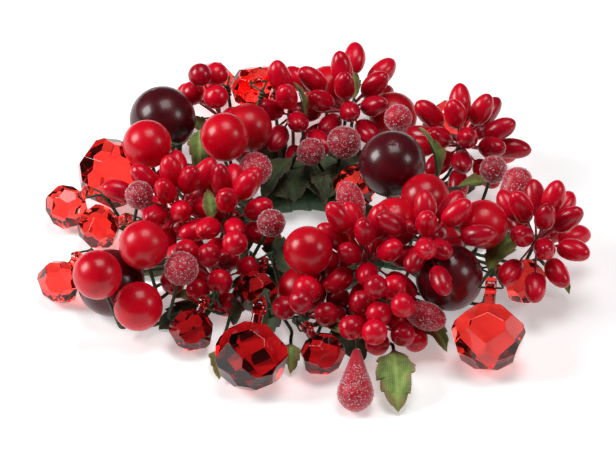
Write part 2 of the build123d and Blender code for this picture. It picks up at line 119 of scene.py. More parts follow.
SPRAY_ROWS = (
    ("back_right", "01", (38, 0.71, 0.38), ()),
    ("back_middle", "02", (79, 0.74, 0.25), ()),
    ("back", "03", (95, 0.67, 0.31), ()),
    ("back_left", "03", (115, 0.76, 0.25), ()),
    ("left", "05", (177, 0.47, 0.38), ()),
    ("inner_left", "06", (-167, 0.30, 0.44), ()),
    ("front_left", "07", (-136, 0.46, 0.25), ()),
    ("front_middle", "08", (-91, 0.54, 0.25), ((-100, 0.475, 0.10),)),
    ("front", "09", (-68, 0.63, 0.25), ()),
    ("front_right", "10", (-60, 0.44, 0.56), ()),
    ("inner_right", "10", (-43, 0.57, 0.81), ((-44, 0.45, 0.10),)),
    ("right", "12", (-15, 0.85, 0.50), ()),
)

THREAD_ROWS = {
    "left": (
        (150, 80, 1.0), (-50, 70, 1.15), (168, 47, 1.06), (-125, 26, 0.94), (-84, 37, 0.86),
        (30, 50, 1.0), (-36, 30, 0.82), (176, 21, 1.36), (-121, 59, 1.02),
    ),
    "inner_left": (
        (127, 78, 1.0), (-15, 68, 1.10), (-35, 39, 1.07), (-44, 10, 0.97), (-15, -13, 0.86),
        (-79, 26, 0.98), (-114, 26, 1.08), (-151, 2, 0.75), (-90, 61, 1.1),
    ),
    "front_left": ((-122, 72, 0.86), (25, 58, 0.54), (-82, 33, 0.74), (-127, 8, 0.62)),
    "back": (
        (150, 71, 0.95), (-105, 60, 0.93), (-150, 32, 0.68), (-80, 25, 0.83), (-110, 0, 0.90),
    ),
    "back_left": ((-105, 65, 0.90), (165, 40, 0.82), (-65, 30, 0.75)),
    "back_middle": (
        (171, 46, 1.05), (-139, 40, 1.0), (-115, 12, 0.88), (-100, 72, 0.9), (0, 50, 0.95),
        (40, 30, 1.15), (-85, 35, 1.0), (-45, 34, 1.0),
    ),
    "back_right": (
        (165, 45, 1.0), (-150, 80, 0.9), (-130, 40, 1.0), (-80, 45, 1.0), (-45, 25, 1.0),
        (-5, 0, 1.1), (-135, -10, 0.7), (-90, 12, 0.9), (-95, -30, 0.95),
    ),
    "right": (
        (175, 70, 0.95), (35, 65, 1.05), (-65, 65, 0.98), (-10, 45, 0.95), (-80, 26, 1.0),
        (-35, 10, 0.97), (-65, -10, 1.0), (-92, -12, 1.30), (-120, -5, 1.15), (-115, 40, 0.98),
    ),
    "front_right": (
        (175, 60, 1.30), (-105, 71, 1.1), (-50, 46, 0.97), (-131, 43, 0.86), (-135, 0, 0.90),
        (-95, 16, 0.72), (-40, -14, 0.90), (-105, -28, 0.88),
    ),
    "inner_right": ((-84, 66, 0.76), (90, 60, 0.70), (-108, 0, 0.68), (-60, 17, 0.70)),
    "front": ((-165, 66, 0.66), (-80, 50, 0.85), (-84, -6, 0.62), (-121, 28, 1.08), (9, -8, 0.57)),
    "front_middle": ((-145, 40, 0.7), (-40, 30, 0.67)),
}

# Leaves that lie low between the picks: pick, turn of the base, turn of the blade, length share
LOW_ROWS = (
    ("01", 31, 38, 1.40), ("02", 75, 82, 1.25), ("03", 104, 101, 1.40), ("04", 135, 132, 1.30),
    ("05", 167, 176, 1.20), ("06", -166, -170, 1.20), ("07", -136, -139, 1.35), ("08", -108, -112, 1.20),
    ("09", -76, -72, 1.30), ("10", -50, -46, 1.30), ("11", -25, -34, 1.10), ("12", 5, 8, 1.45),
)

LEAF_ROWS = (
    ("left", "06", (-160, 0.37, 0.55), (100, 50, 0), 0.60, ()),
    ("left", "05", (174, 0.56, 0.40), (175, 5, 0), 0.60, ()),
    ("front", "07", (-127, 0.56, 0.135), (147, 1, 0), 0.90, ()),
    ("front", "07", (-116.5, 0.725, 0.07), (-87, 2, 0), 0.80, ()),
    ("front", "08", (-95.7, 0.62, 0.085), (-90, -2, 0), 0.76, ((-103, 0.44, 0.08), (-96, 0.54, 0.08))),
    ("front", "09", (-76.5, 0.645, 0.22), (165, 5, 0), 0.75, ()),
    ("front", "09", (-66.5, 0.765, 0.17), (-87, -5, 0), 1.50, ()),
    ("front", "10", (-52, 0.66, 0.16), (-60, 0, 0), 0.90, ()),
    ("right", "11", (-29, 0.74, 0.40), (65, 5, 0), 1.20, ()),
    ("right", "12", (-12.4, 0.87, 0.19), (-54, -10, 0), 0.80, ()),
    ("right", "12", (16.4, 0.49, 0.53), (114, 51, 90), 1.00, ()),
    ("right", "12", (18, 0.57, 0.38), (10, 5, 0), 0.65, ()),
    ("back", "04", (122, 0.66, 0.20), (128, 18, 0), 0.70, ()),
    ("back", "04", (132, 0.585, 0.56), (-92, -13, 0), 1.05, ()),
    ("back", "02", (92, 0.60, 0.31), (100, 50, 90), 0.82, ()),
    ("back", "02", (77, 0.75, 0.38), (90, 24, 0), 0.60, ()),
    ("centre", "03", (100, 0.33, 0.44), (-126, -18, 0), 1.00, ()),
    ("centre", "02", (85, 0.32, 0.31), (-78, -6, 0), 0.85, ()),
    *(("low", pick, (base, 0.46, 0.03), (turn, 0, 0), share, ()) for pick, base, turn, share in LOW_ROWS),
)

Points = np.ndarray
Colour = tuple[float, float, float, float]
Tree = bpy.types.NodeTree
Node = bpy.types.Node
Source = tuple[Node, str | int]
RadiusLaw = Callable[[Points, Points], Points]

REACH = 80.0  # middle of the hoop to the outermost drops
RISE = 32.0  # table to the highest berries
HOOP_REACH = 21.0
HOOP_RISE = 3.2
TRUNK_REACH = 28.0
KNEE_SETBACK = 5.0
WIRE_RADIUS = 0.55
QUARTER = 90.0
FULL_TURN = 2 * np.pi


class Kind(Enum):
    """The forms of bead on the ring, each as its diameter and length in mm."""

    RED = ("red", 14.2, 14.2)
    DARK = ("dark", 19.4, 19.4)
    SUGAR_LARGE = ("sugar_large", 9.6, 9.6)
    SUGAR_SMALL = ("sugar_small", 8.0, 8.0)
    CAPSULE = ("capsule", 8.0, 13.0)
    TEARDROP = ("teardrop", 10.4, 22.0)
    TEARDROP_SMALL = ("teardrop_small", 8.8, 16.5)

    @property
    def diameter(self) -> float:
        """The widest part, in mm."""
        return self.value[1]

    @property
    def length(self) -> float:
        """Stem end to tip, in mm."""
        return self.value[2]

    @property
    def stemmed(self) -> bool:
        """True for a teardrop, whose stem ends in its neck."""
        return self in (Kind.TEARDROP, Kind.TEARDROP_SMALL)


NODE_NAMES = {
    Kind.RED: "red_berries", Kind.DARK: "dark_berry", Kind.CAPSULE: "capsules",
    Kind.SUGAR_LARGE: "sugared_berries", Kind.SUGAR_SMALL: "sugared_berries",
    Kind.TEARDROP: "teardrops", Kind.TEARDROP_SMALL: "teardrops",
}


# Geometry in millimetres


def polar(turn: float, reach: float, rise: float) -> Points:
    """The point at this turn in degrees, this far out and this high."""
    angle = math.radians(turn)
    return np.array([reach * math.cos(angle), reach * math.sin(angle), rise])


def place(shares: Place) -> Points:
    """The point for a turn and shares of the ring's reach and rise."""
    turn, reach_share, rise_share = shares
    return polar(turn, REACH * reach_share, RISE * rise_share)


def aim(turn: float, rise: float) -> Points:
    """The unit direction with this turn and this rise above the level, in degrees."""
    angle, lift = math.radians(turn), math.radians(rise)
    return np.array([math.cos(angle) * math.cos(lift), math.sin(angle) * math.cos(lift), math.sin(lift)])


def unit(vectors: Points) -> Points:
    """Vectors scaled to length 1."""
    return vectors / np.linalg.norm(vectors, axis=-1, keepdims=True)


@dataclass(frozen=True)
class Stand:
    """Where a piece sits and which way its own axes point."""

    middle: Points
    axes: Points

    @classmethod
    def along(cls, middle: Points, way: Points, across: Points | None = None) -> "Stand":
        """A stand whose Z runs along way.

        Args:
            middle: the point that the piece's origin goes to.
            way: the direction of the piece's Z.
            across: a direction near the piece's X, or None for any.

        Returns:
            The stand, with three square axes.
        """
        z = unit(np.asarray(way, float))
        if across is None:
            across = np.array([0.0, 0.0, 1.0]) if abs(z[2]) < 0.9 else np.array([1.0, 0.0, 0.0])
        x = unit(across - (across @ z) * z)
        return cls(np.asarray(middle, float), np.stack([x, np.cross(z, x), z]))

    def carry(self, points: Points) -> Points:
        """Points from the piece's own axes to the ring's."""
        return self.middle + points @ self.axes


@dataclass
class Skin:
    """A surface: its points, its faces, and where each point lies on the pattern."""

    points: Points
    faces: list[Points]
    pattern: Points
    tone: Points | float = 0.5

    def on(self, stand: Stand, tone: float = 0.5) -> "Skin":
        """This surface carried to a stand, with a tone of its own."""
        return Skin(stand.carry(self.points), self.faces, self.pattern, tone)


def lattice(rows: int, columns: int, loop_rows: bool = False, shift: int = 0) -> Points:
    """The four-cornered faces of a grid of points whose columns close on themselves.

    Corner order is (i, j), (i, j+1), (i+1, j+1), (i+1, j), so a ring that turns
    anticlockwise about the way the rows run faces outward.

    Args:
        rows: how many rings.
        columns: points in each ring.
        loop_rows: True where the last ring joins the first.
        shift: how many rows back a ring joins after a full turn, as a screw thread does.

    Returns:
        An array of corner indices, one row to a face.
    """
    i, j = np.meshgrid(np.arange(rows if loop_rows else rows - 1), np.arange(columns), indexing="ij")
    i, j = i.ravel(), j.ravel()
    wraps = j == columns - 1
    after = np.where(wraps, 0, j + 1)
    low, high = i, (i + 1) % rows
    low_after = np.where(wraps, low - shift, low) % rows
    high_after = np.where(wraps, high - shift, high) % rows
    return np.stack([low * columns + j, low_after * columns + after,
                     high_after * columns + after, high * columns + j], axis=1)


def closed_rings(rings: Points, first: Points, last: Points, pattern: Points | None = None) -> Skin:
    """A closed surface over rings of points, with a fan to one pole at either end.

    Args:
        rings: points as (ring, place in the ring, xyz).
        first: the pole before the first ring.
        last: the pole after the last ring.
        pattern: the pattern place of each point of the rings, or None for the points.

    Returns:
        The surface, facing outward where the rings turn anticlockwise.
    """
    rows, columns = rings.shape[:2]
    points = np.vstack([rings.reshape(-1, 3), first, last])
    start, end = rows * columns, rows * columns + 1
    j = np.arange(columns)
    after = (j + 1) % columns
    base = (rows - 1) * columns
    foot = np.stack([np.full(columns, start), after, j], axis=1)
    head = np.stack([np.full(columns, end), base + j, base + after], axis=1)
    if pattern is None:
        places = points
    else:
        ends = pattern[0].mean(axis=0), pattern[-1].mean(axis=0)
        places = np.vstack([pattern.reshape(-1, 3), ends[0], ends[1]])
    return Skin(points, [lattice(rows, columns), foot, head], places)


def turned(radii: Points, heights: Points, columns: int) -> Skin:
    """A closed form turned round Z: x = r(s) cos a, y = r(s) sin a, z = h(s).

    Args:
        radii: the radius at each step s, nothing at the first and last.
        heights: the height at each step s, rising.
        columns: points round the form.

    Returns:
        The surface.
    """
    angles = np.linspace(0, FULL_TURN, columns, endpoint=False)
    inner, levels = radii[1:-1, None], heights[1:-1, None]
    rings = np.stack([inner * np.cos(angles), inner * np.sin(angles), levels + 0 * angles], axis=-1)
    return closed_rings(rings, np.array([0, 0, heights[0]]), np.array([0, 0, heights[-1]]))


def pole_steps(rows: int) -> Points:
    """Latitudes in radians from pole to pole, closer together near the poles."""
    lift = np.linspace(-1, 1, rows + 2)
    return np.pi / 4 * (lift + np.sin(np.pi / 2 * lift))


def one_draw(seed: int) -> float:
    """The first random number, from 0 to 1, that a seed gives."""
    return float(np.random.default_rng(seed).random())


def hill(values: Points, middle: float, width: float) -> Points:
    """A soft hill from 0 to 1: exp(-((v - middle)/width)^2)."""
    return np.exp(-((values - middle) / width) ** 2)


def squared(values: Points, power: float) -> Points:
    """Sines or cosines pushed out towards 1 and -1, which squares off a round section."""
    return np.sign(values) * np.abs(values) ** power


def ripple(points: Points, size: float, seed: int, waves: int = 7) -> Points:
    """A slow swell from -1 to 1: the mean of cosines that run in random directions.

    Args:
        points: where the swell is wanted, in mm.
        size: the length of one wave, in mm.
        seed: fixes the directions and phases.
        waves: how many cosines are averaged.

    Returns:
        One value for each point.
    """
    draw = np.random.default_rng(seed)
    ways = unit(draw.normal(size=(waves, 3)))
    phases = draw.uniform(0, FULL_TURN, waves)
    return np.cos(points @ ways.T * (FULL_TURN / size) + phases).mean(axis=-1)


def softened(corners: Points, setback: float = 2.4, steps: int = 7) -> Points:
    """A way through corners with each bend eased by a parabola.

    A bend runs (1-t)^2 a + 2t(1-t) c + t^2 b, from a before the corner c to b after it.

    Args:
        corners: the points of the way.
        setback: how far from a corner its bend may begin, in mm.
        steps: points in one bend.

    Returns:
        The points of the eased way.
    """
    corners = np.asarray(corners, float)
    if len(corners) < 3:
        return corners
    runs = np.diff(corners, axis=0)
    lengths = np.linalg.norm(runs, axis=1)
    ways = runs / lengths[:, None]
    back = np.minimum(setback, 0.45 * np.minimum(lengths[:-1], lengths[1:]))[:, None]
    t = np.linspace(0, 1, steps)[None, :, None]
    middle = corners[1:-1]
    before, after = (middle - ways[:-1] * back)[:, None], (middle + ways[1:] * back)[:, None]
    bends = (1 - t) ** 2 * before + 2 * t * (1 - t) * middle[:, None] + t ** 2 * after
    return np.vstack([corners[:1], bends.reshape(-1, 3), corners[-1:]])


def spaced(way: Points, step: float) -> tuple[Points, Points]:
    """Points at even distances along a way.

    Args:
        way: the points of the way, in mm.
        step: about how far apart the new points are, in mm.

    Returns:
        The points, and their distances from the start.
    """
    runs = np.linalg.norm(np.diff(way, axis=0), axis=1)
    along = np.concatenate([[0], np.cumsum(runs)])
    count = max(3, int(along[-1] / step) + 1)
    at = np.linspace(0, along[-1], count)
    return np.stack([np.interp(at, along, way[:, k]) for k in range(3)], axis=1), at


def tube(way: Points, radius: RadiusLaw, columns: int, step: float) -> Skin:
    """A closed tube along a way: point = way(s) + r(s, a) (n cos a + b sin a).

    n is square to the way and as near as can be to the normal of the plane that the way
    bends in, so the tube doesn't twist. Its ends close on poles.

    Args:
        way: the middle line, in mm.
        radius: gives the radius from the distance along and the angle round.
        columns: points round the tube.
        step: distance between rings, in mm.

    Returns:
        The surface. Its pattern is (radius cos a, radius sin a, distance along).
    """
    line, along = spaced(way, step)
    tangents = unit(np.gradient(line, axis=0))
    normal = np.linalg.svd(tangents)[2][-1]
    n = unit(normal - (tangents @ normal)[:, None] * tangents)
    b = np.cross(tangents, n)
    angles = np.linspace(0, FULL_TURN, columns, endpoint=False)
    r = radius(along[:, None], angles[None, :]) * np.ones((len(along), columns))
    round_way = n[:, None] * np.cos(angles)[None, :, None] + b[:, None] * np.sin(angles)[None, :, None]
    rings = line[:, None] + r[..., None] * round_way
    mean = float(r.mean())
    pattern = np.stack([mean * np.cos(angles) + 0 * r, mean * np.sin(angles) + 0 * r,
                        along[:, None] + 0 * r], axis=-1)
    return closed_rings(rings, line[0], line[-1], pattern)


def wound(base: float, step: float, pitch: float) -> RadiusLaw:
    """The radius of a wire wound with a narrow band: base + step frac(s/pitch + a/turn).

    Args:
        base: the radius under the band, in mm.
        step: how far the edge of a lap stands up, in mm.
        pitch: the distance from lap to lap, in mm.

    Returns:
        The radius from the distance along and the angle round.
    """
    return lambda along, angle: base + step * np.mod(along / pitch + angle / FULL_TURN, 1.0)


def bound(marks: Sequence[float], radii: Sequence[float], step: float, pitch: float,
          thins: float = 0.0) -> RadiusLaw:
    """The radius of a spindle bound with tape: r(s) + step frac(s/pitch + a/turn).

    Args:
        marks: distances along the spindle, in mm.
        radii: its radii there, in mm.
        step: how far the edge of a lap stands up, in mm.
        pitch: the distance from lap to lap, in mm.
        thins: the radius at which a lap has its full step, or 0 for the same step all along.

    Returns:
        The radius from the distance along and the angle round.
    """
    def radius(along: Points, angle: Points) -> Points:
        """Spindle radius with the step of each lap."""
        spindle = np.interp(along, marks, radii)
        lap = step * np.mod(along / pitch + angle / FULL_TURN, 1.0)
        return spindle + (lap * spindle / thins if thins else lap)
    return radius


# Making pieces


def add_object(name: str, data: bpy.types.ID) -> bpy.types.Object:
    """A new object in the scene, at the origin."""
    made = bpy.data.objects.new(name, data)
    bpy.context.scene.collection.objects.link(made)
    return made


def gather(name: str, skins: Sequence[Skin]) -> bpy.types.Object:
    """One smooth mesh object from several surfaces, with its pattern and tone as attributes.

    Args:
        name: the object's name.
        skins: the surfaces, in mm.

    Returns:
        The object, at the origin.
    """
    points, faces, pattern, tones, start = [], [], [], [], 0
    for skin in skins:
        points.append(skin.points)
        pattern.append(skin.pattern)
        tones.append(np.broadcast_to(skin.tone, len(skin.points)))
        faces += [row for block in skin.faces for row in (block + start).tolist()]
        start += len(skin.points)
    mesh = bpy.data.meshes.new(name)
    mesh.from_pydata((np.vstack(points) * MM).tolist(), [], faces)
    mesh.attributes.new("pattern", "FLOAT_VECTOR", "POINT").data.foreach_set(
        "vector", np.vstack(pattern).astype(np.float32).ravel())
    mesh.attributes.new("tone", "FLOAT", "POINT").data.foreach_set(
        "value", np.concatenate(tones).astype(np.float32))
    mesh.polygons.foreach_set("use_smooth", np.ones(len(mesh.polygons), bool))
    mesh.update()
    return add_object(name, mesh)


def fit_out(piece: bpy.types.Object, finish: "Finish", body: str,
            nodes: Iterable[str] = ()) -> None:
    """Gives a piece all that it needs beside its shape.

    Args:
        piece: the new piece.
        finish: what it is made of.
        body: the body that it rides on.
        nodes: the CAD nodes that it stands for.
    """
    piece.data.materials.clear()
    piece.data.materials.append(finish.material())
    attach(piece, body)
    if nodes:
        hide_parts(*nodes)
    log.info("%s on %s: %d faces", piece.name, body, len(piece.data.polygons))


# Finishes


def colour(code: str) -> Colour:
    """A shader's colour: c/12.92 below 0.04045, else ((c+0.055)/1.055)^2.4.

    Args:
        code: the sRGB hex code.

    Returns:
        The linear colour.
    """
    values = [int(code[k:k + 2], 16) / 255 for k in (1, 3, 5)]
    linear = [c / 12.92 if c <= 0.04045 else ((c + 0.055) / 1.055) ** 2.4 for c in values]
    return linear[0], linear[1], linear[2], 1.0


def feed(node: Node, sockets: dict[str | int, float | Colour | Source]) -> Node:
    """Puts a constant, or a source such as (node, output), on each socket named.

    Args:
        node: the node to feed.
        sockets: constants and sources by socket.

    Returns:
        The node.
    """
    for key, value in sockets.items():
        if isinstance(value, tuple) and isinstance(value[0], Node):
            node.id_data.links.new(value[0].outputs[value[1]], node.inputs[key])
        else:
            node.inputs[key].default_value = value
    return node


def add_node(tree: Tree, kind: str, sockets: dict | None = None, **settings: str | bool) -> Node:
    """Adds one node to a material.

    Args:
        tree: the material's nodes.
        kind: the node's type.
        sockets: constants and sources by socket.
        **settings: the node's options by name.

    Returns:
        The node.
    """
    node = tree.nodes.new(kind)
    for name, value in settings.items():
        setattr(node, name, value)
    return feed(node, sockets or {})


def attribute(tree: Tree, name: str, output: str) -> Source:
    """The source that reads a piece's attribute."""
    return add_node(tree, "ShaderNodeAttribute", attribute_name=name), output


def object_place(tree: Tree) -> Source:
    """The source that reads the place in the object's own axes."""
    return add_node(tree, "ShaderNodeTexCoord"), "Object"


def noise(tree: Tree, place_at: Source, scale: float, detail: float, turn: Source | None = None,
          **more: float) -> Source:
    """Cloudy noise.

    Args:
        tree: the material's nodes.
        place_at: the place on the pattern.
        scale: cycles in one unit of place.
        detail: how many finer layers are added.
        turn: a source that gives each piece clouds of its own, or None.
        **more: further constants by socket.

    Returns:
        The noise, from 0 to 1.
    """
    sockets = {"Vector": place_at, "Scale": scale, "Detail": detail, **more}
    if turn is None:
        return add_node(tree, "ShaderNodeTexNoise", sockets), "Fac"
    # The fourth socket is there only once the noise has four dimensions.
    cloud = add_node(tree, "ShaderNodeTexNoise", noise_dimensions="4D")
    return feed(cloud, {**sockets, "W": turn}), "Fac"


def ramp(tree: Tree, source: Source, *stops: tuple[float, str]) -> Source:
    """Colours over a source's value.

    Args:
        tree: the material's nodes.
        source: the value.
        *stops: each colour's value and hex code, rising.

    Returns:
        The colour.
    """
    node = add_node(tree, "ShaderNodeValToRGB", {"Fac": source})
    marks = node.color_ramp.elements
    while len(marks) < len(stops):
        marks.new(0.5)
    for mark, (position, code) in zip(marks, stops):
        mark.position = position
        mark.color = colour(code)
    return node, "Color"


def remap(tree: Tree, source: Source, span: tuple[float, float], to: tuple[float, float],
          kind: str = "LINEAR") -> Source:
    """A value moved from one span to another.

    Args:
        tree: the material's nodes.
        source: the value.
        span: the value's lower and upper mark.
        to: what they become.
        kind: the curve between the marks.

    Returns:
        The new value.
    """
    sockets = {"Value": source, "From Min": span[0], "From Max": span[1], "To Min": to[0], "To Max": to[1]}
    return add_node(tree, "ShaderNodeMapRange", sockets, interpolation_type=kind), "Result"


def maths(tree: Tree, operation: str, *terms: float | Source, clamp: bool = False) -> Source:
    """A sum on constants and sources, given in the order of the node's sockets."""
    return add_node(tree, "ShaderNodeMath", dict(enumerate(terms)), operation=operation,
                    use_clamp=clamp), "Value"


def mix(tree: Tree, share: float | Source, first: Source, second: Colour | Source,
        kind: str = "MIX") -> Source:
    """Two colours blended.

    Args:
        tree: the material's nodes.
        share: how much of the second.
        first: the first colour.
        second: the second colour.
        kind: how they blend.

    Returns:
        The colour.
    """
    node = add_node(tree, "ShaderNodeMix", data_type="RGBA", blend_type=kind)
    return feed(node, {0: share, 6: first, 7: second}), 2


def bump(tree: Tree, source: Source, strength: float, height: float) -> Source:
    """Relief of a height in mm from a value."""
    return add_node(tree, "ShaderNodeBump", {"Strength": strength, "Distance": height * MM,
                                             "Height": source}), "Normal"


@dataclass(frozen=True)
class Finish:
    """A finish that makes its material once."""

    name: str

    def material(self) -> bpy.types.Material:
        """The material of this finish, made the first time that it is asked for.

        Returns:
            The material.
        """
        made = bpy.data.materials.get(self.name)
        if made:
            return made
        made = bpy.data.materials.new(self.name)
        made.use_nodes = True
        tree = made.node_tree
        tree.nodes.clear()
        shader = add_node(tree, "ShaderNodeBsdfPrincipled")
        out = add_node(tree, "ShaderNodeOutputMaterial", {"Surface": (shader, "BSDF")})
        self.dress(tree, shader, out)
        return made

    def dress(self, tree: Tree, shader: Node, out: Node) -> None:
        """Sets the shader and adds the nodes that feed it.

        Args:
            tree: the material's nodes.
            shader: its Principled shader.
            out: its output.
        """
        raise NotImplementedError


@dataclass(frozen=True)
class Lacquer(Finish):
    """Dipped lacquer over a moulded foam core: soft broad highlights under a thin clear coat.

    The colour pools a little, so each bead is mottled over some millimetres, and the
    dipped skin has a fine orange peel.
    """

    light: str
    deep: str
    roughness: float
    coat: float
    mottle: float  # cycles per mm
    peel: float  # cycles per mm
    peel_height: float  # mm
    shine: float = 0.34
    frost: float = 0.0
    own_clouds: float = 37.0  # how far the tone moves the mottling from bead to bead
    tone_share: tuple[float, float] = (0.55, -0.16)  # slope and start of the tone's part in the colour

    def dress(self, tree: Tree, shader: Node, out: Node) -> None:
        """Mottled colour by bead, uneven gloss and orange peel."""
        pattern, tone = attribute(tree, "pattern", "Vector"), attribute(tree, "tone", "Fac")
        cloud = noise(tree, pattern, self.mottle, 3.0, maths(tree, "MULTIPLY", tone, self.own_clouds),
                      Roughness=0.55)
        shade = maths(tree, "ADD", cloud, maths(tree, "MULTIPLY_ADD", tone, *self.tone_share), clamp=True)
        gloss = remap(tree, cloud, (0.3, 0.7), (self.roughness - 0.05, self.roughness + 0.07))
        feed(shader, {
            "Base Color": ramp(tree, shade, (0.25, self.deep), (0.75, self.light)),
            "Roughness": gloss, "IOR": 1.5, "Specular IOR Level": self.shine,
            "Normal": bump(tree, noise(tree, pattern, self.peel, 2.0), 0.6, self.peel_height),
            "Coat Weight": self.coat, "Coat Roughness": 0.10,
            "Sheen Weight": self.frost, "Sheen Roughness": 0.35, "Sheen Tint": colour("#F6DDE0")})


@dataclass(frozen=True)
class SugarGrain(Finish):
    """Milky cast microbeads glued on as sugar: pale specks that whiten the rim of a berry."""

    def dress(self, tree: Tree, shader: Node, out: Node) -> None:
        """Half-clear beads, each a little more or less pink."""
        tone = attribute(tree, "tone", "Fac")
        feed(shader, {
            "Base Color": ramp(tree, tone, (0.0, "#F0AAB4"), (0.6, "#FAE0E4"), (1.0, "#FFFFFF")),
            "Transmission Weight": remap(tree, tone, (0.0, 1.0), (0.65, 0.25)),
            "IOR": 1.5, "Roughness": 0.10, "Alpha": 0.85})


@dataclass(frozen=True)
class CastAcrylic(Finish):
    """Injection-moulded clear red acrylic: bright where light runs through to the table,
    near black where a facet turns the view back inside."""

    tints: tuple[str, str] = ("#FF4A42", "#FF544A")
    depth: str = "#FF3A34"
    density: float = 35.0  # absorption per metre
    haze_scale: float = 300.0  # cycles per metre

    def dress(self, tree: Tree, shader: Node, out: Node) -> None:
        """Clear polish with faint handling haze, and red that deepens with thickness."""
        haze = noise(tree, object_place(tree), self.haze_scale, 4.0)
        feed(shader, {
            "Base Color": ramp(tree, haze, (0.3, self.tints[0]), (0.7, self.tints[1])),
            "Roughness": remap(tree, haze, (0.5, 0.8), (0.012, 0.09)),
            "IOR": 1.49, "Transmission Weight": 1.0})
        thick = add_node(tree, "ShaderNodeVolumeAbsorption",
                         {"Color": colour(self.depth), "Density": self.density})
        feed(out, {"Volume": (thick, "Volume")})


@dataclass(frozen=True)
class LeafCloth(Finish):
    """Woven polyester stiffened and heat-pressed: dyed green with tan scorched edges.

    The real threads are about 0.25 mm apart, too fine to show, so they are drawn 0.6 mm apart.
    """

    light: str = "#AECB66"
    middle: str = "#839F48"
    deep: str = "#5A7230"
    rim: str = "#8C7444"
    # painted shade, multiplied into the dye where the weave sinks
    painted_valley_shade: str = "#8A9070"
    thread: float = 0.6  # mm
    ragged: float = 6.0  # mm, how far the scorched rim wanders

    def dress(self, tree: Tree, shader: Node, out: Node) -> None:
        """Weave, dye darkened in the weave's valleys as painted shade, a pale midrib and a tan rim, from
        places along and across the blade.

        The pattern is (along, across, distance from the rim), in mm.
        """
        pattern, tone = attribute(tree, "pattern", "Vector"), attribute(tree, "tone", "Fac")
        parts = add_node(tree, "ShaderNodeSeparateXYZ", {"Vector": pattern})
        waves = [(add_node(tree, "ShaderNodeTexWave", {"Vector": pattern, "Scale": 0.314 / self.thread,
                           "Distortion": 0.6, "Detail": 1.0}, bands_direction=way), "Fac")
                 for way in ("X", "Y")]
        weave = maths(tree, "MULTIPLY", *waves)
        cloud = noise(tree, pattern, 0.20, 4.0, tone)
        dye = ramp(tree, cloud, (0.30, self.deep), (0.5, self.middle), (0.70, self.light))
        # Painted shade: the dye is darkened where the weave is low.
        dye_with_weave_shade = mix(tree, weave, mix(tree, 0.6, dye, colour(self.painted_valley_shade), "MULTIPLY"), dye)
        rib = remap(tree, maths(tree, "ABSOLUTE", (parts, "Y")), (0.25, 0.9), (0.28, 0.0), "SMOOTHSTEP")
        ribbed = mix(tree, rib, dye_with_weave_shade, colour(self.light))
        wander = maths(tree, "MULTIPLY_ADD", cloud, -self.ragged, self.ragged / 2)
        edge = maths(tree, "ADD", (parts, "Z"), wander)
        scorch = remap(tree, edge, (0.2, 1.8), (0.85, 0.0), "SMOOTHSTEP")
        feed(shader, {
            "Base Color": mix(tree, scorch, ribbed, colour(self.rim)),
            "Normal": bump(tree, weave, 0.8, 0.09),
            "Roughness": 0.72, "Sheen Weight": 0.25, "Sheen Roughness": 0.45})


@dataclass(frozen=True)
class CrepeTape(Finish):
    """Waxed crepe paper tape, stretched as it is wound: fine cross wrinkles and a dull waxy sheen."""

    # colours of the wrinkle crests and valleys; the darker valleys are painted shade
    light: str = "#3E6A3C"
    deep: str = "#16301C"
    crinkle: float = 1.1  # wrinkles per mm, coarser than the real 2 so that they show

    def dress(self, tree: Tree, shader: Node, out: Node) -> None:
        """Wrinkles that run across the band, with painted shade darkening their valleys."""
        pattern, tone = attribute(tree, "pattern", "Vector"), attribute(tree, "tone", "Fac")
        wrinkle = noise(tree, pattern, self.crinkle, 5.0, Roughness=0.65, Distortion=0.4)
        feed(shader, {
            # Painted shade: the colour follows the wrinkle height, dark in the valleys and light on the
            # crests.
            "Base Color": ramp(tree, wrinkle, (0.32, self.deep), (0.68, self.light)),
            "Roughness": remap(tree, tone, (0.0, 1.0), (0.62, 0.42)),
            "Normal": bump(tree, wrinkle, 0.9, 0.14),
            "Coat Weight": 0.12, "Coat Roughness": 0.35})


@dataclass(frozen=True)
class DrawnSteel(Finish):
    """Drawn bright steel wire: a soft grey shine."""

    def dress(self, tree: Tree, shader: Node, out: Node) -> None:
        """Grey metal with a fine uneven polish."""
        marks = noise(tree, object_place(tree), 900.0, 3.0)
        feed(shader, {
            "Base Color": ramp(tree, marks, (0.3, "#8E8F92"), (0.7, "#B5B6B8")),
            "Roughness": remap(tree, marks, (0.0, 1.0), (0.25, 0.5)), "Metallic": 1.0})


RED_LACQUER = Lacquer("red_lacquer_on_foam", "#CA001C", "#9A0012", 0.28, 0.06, 0.16, 1.3, 0.03)
DARK_LACQUER = Lacquer("wine_lacquer_on_foam", "#5A0814", "#2A040A", 0.28, 0.2, 0.14, 1.1, 0.04)
PIP_LACQUER = Lacquer("gloss_lacquer_on_pips", "#CE0224", "#94001A", 0.26, 0.10, 0.25, 0.9, 0.05)
WINE_CORE = Lacquer("wine_lacquer_under_sugar", "#BE0C2C", "#86061A", 0.40, 0.0, 0.30, 1.6, 0.05, 0.4, 1.0)
SUGAR = SugarGrain("clear_microbead_sugar")
ACRYLIC = CastAcrylic("clear_red_acrylic")
WINE_ACRYLIC = CastAcrylic("wine_red_cast_acrylic", ("#E02A2E", "#D0222A"), "#D8141E", 80.0)
LEAF_CLOTH = LeafCloth("pressed_leaf_cloth")
# A darker copy of the leaf cloth, for the low leaves and the leaves laid over the hoop: painted shade.
SHADE_CLOTH = LeafCloth("painted_shade_leaf_cloth", "#4E6430", "#364A24", "#22301A", "#4A4426")
# The tape, the stem paper and the thread paint shade into the valleys of their wrinkles.
TAPE = CrepeTape("waxed_crepe_tape")
WIRE_PAPER = CrepeTape("paper_on_stem_wire", "#2C4A26", "#142A18", 1.6)
THREAD = CrepeTape("dipped_cotton_thread", "#B01828", "#7A101C", 2.0)
STEEL = DrawnSteel("drawn_steel_wire")


# Stems


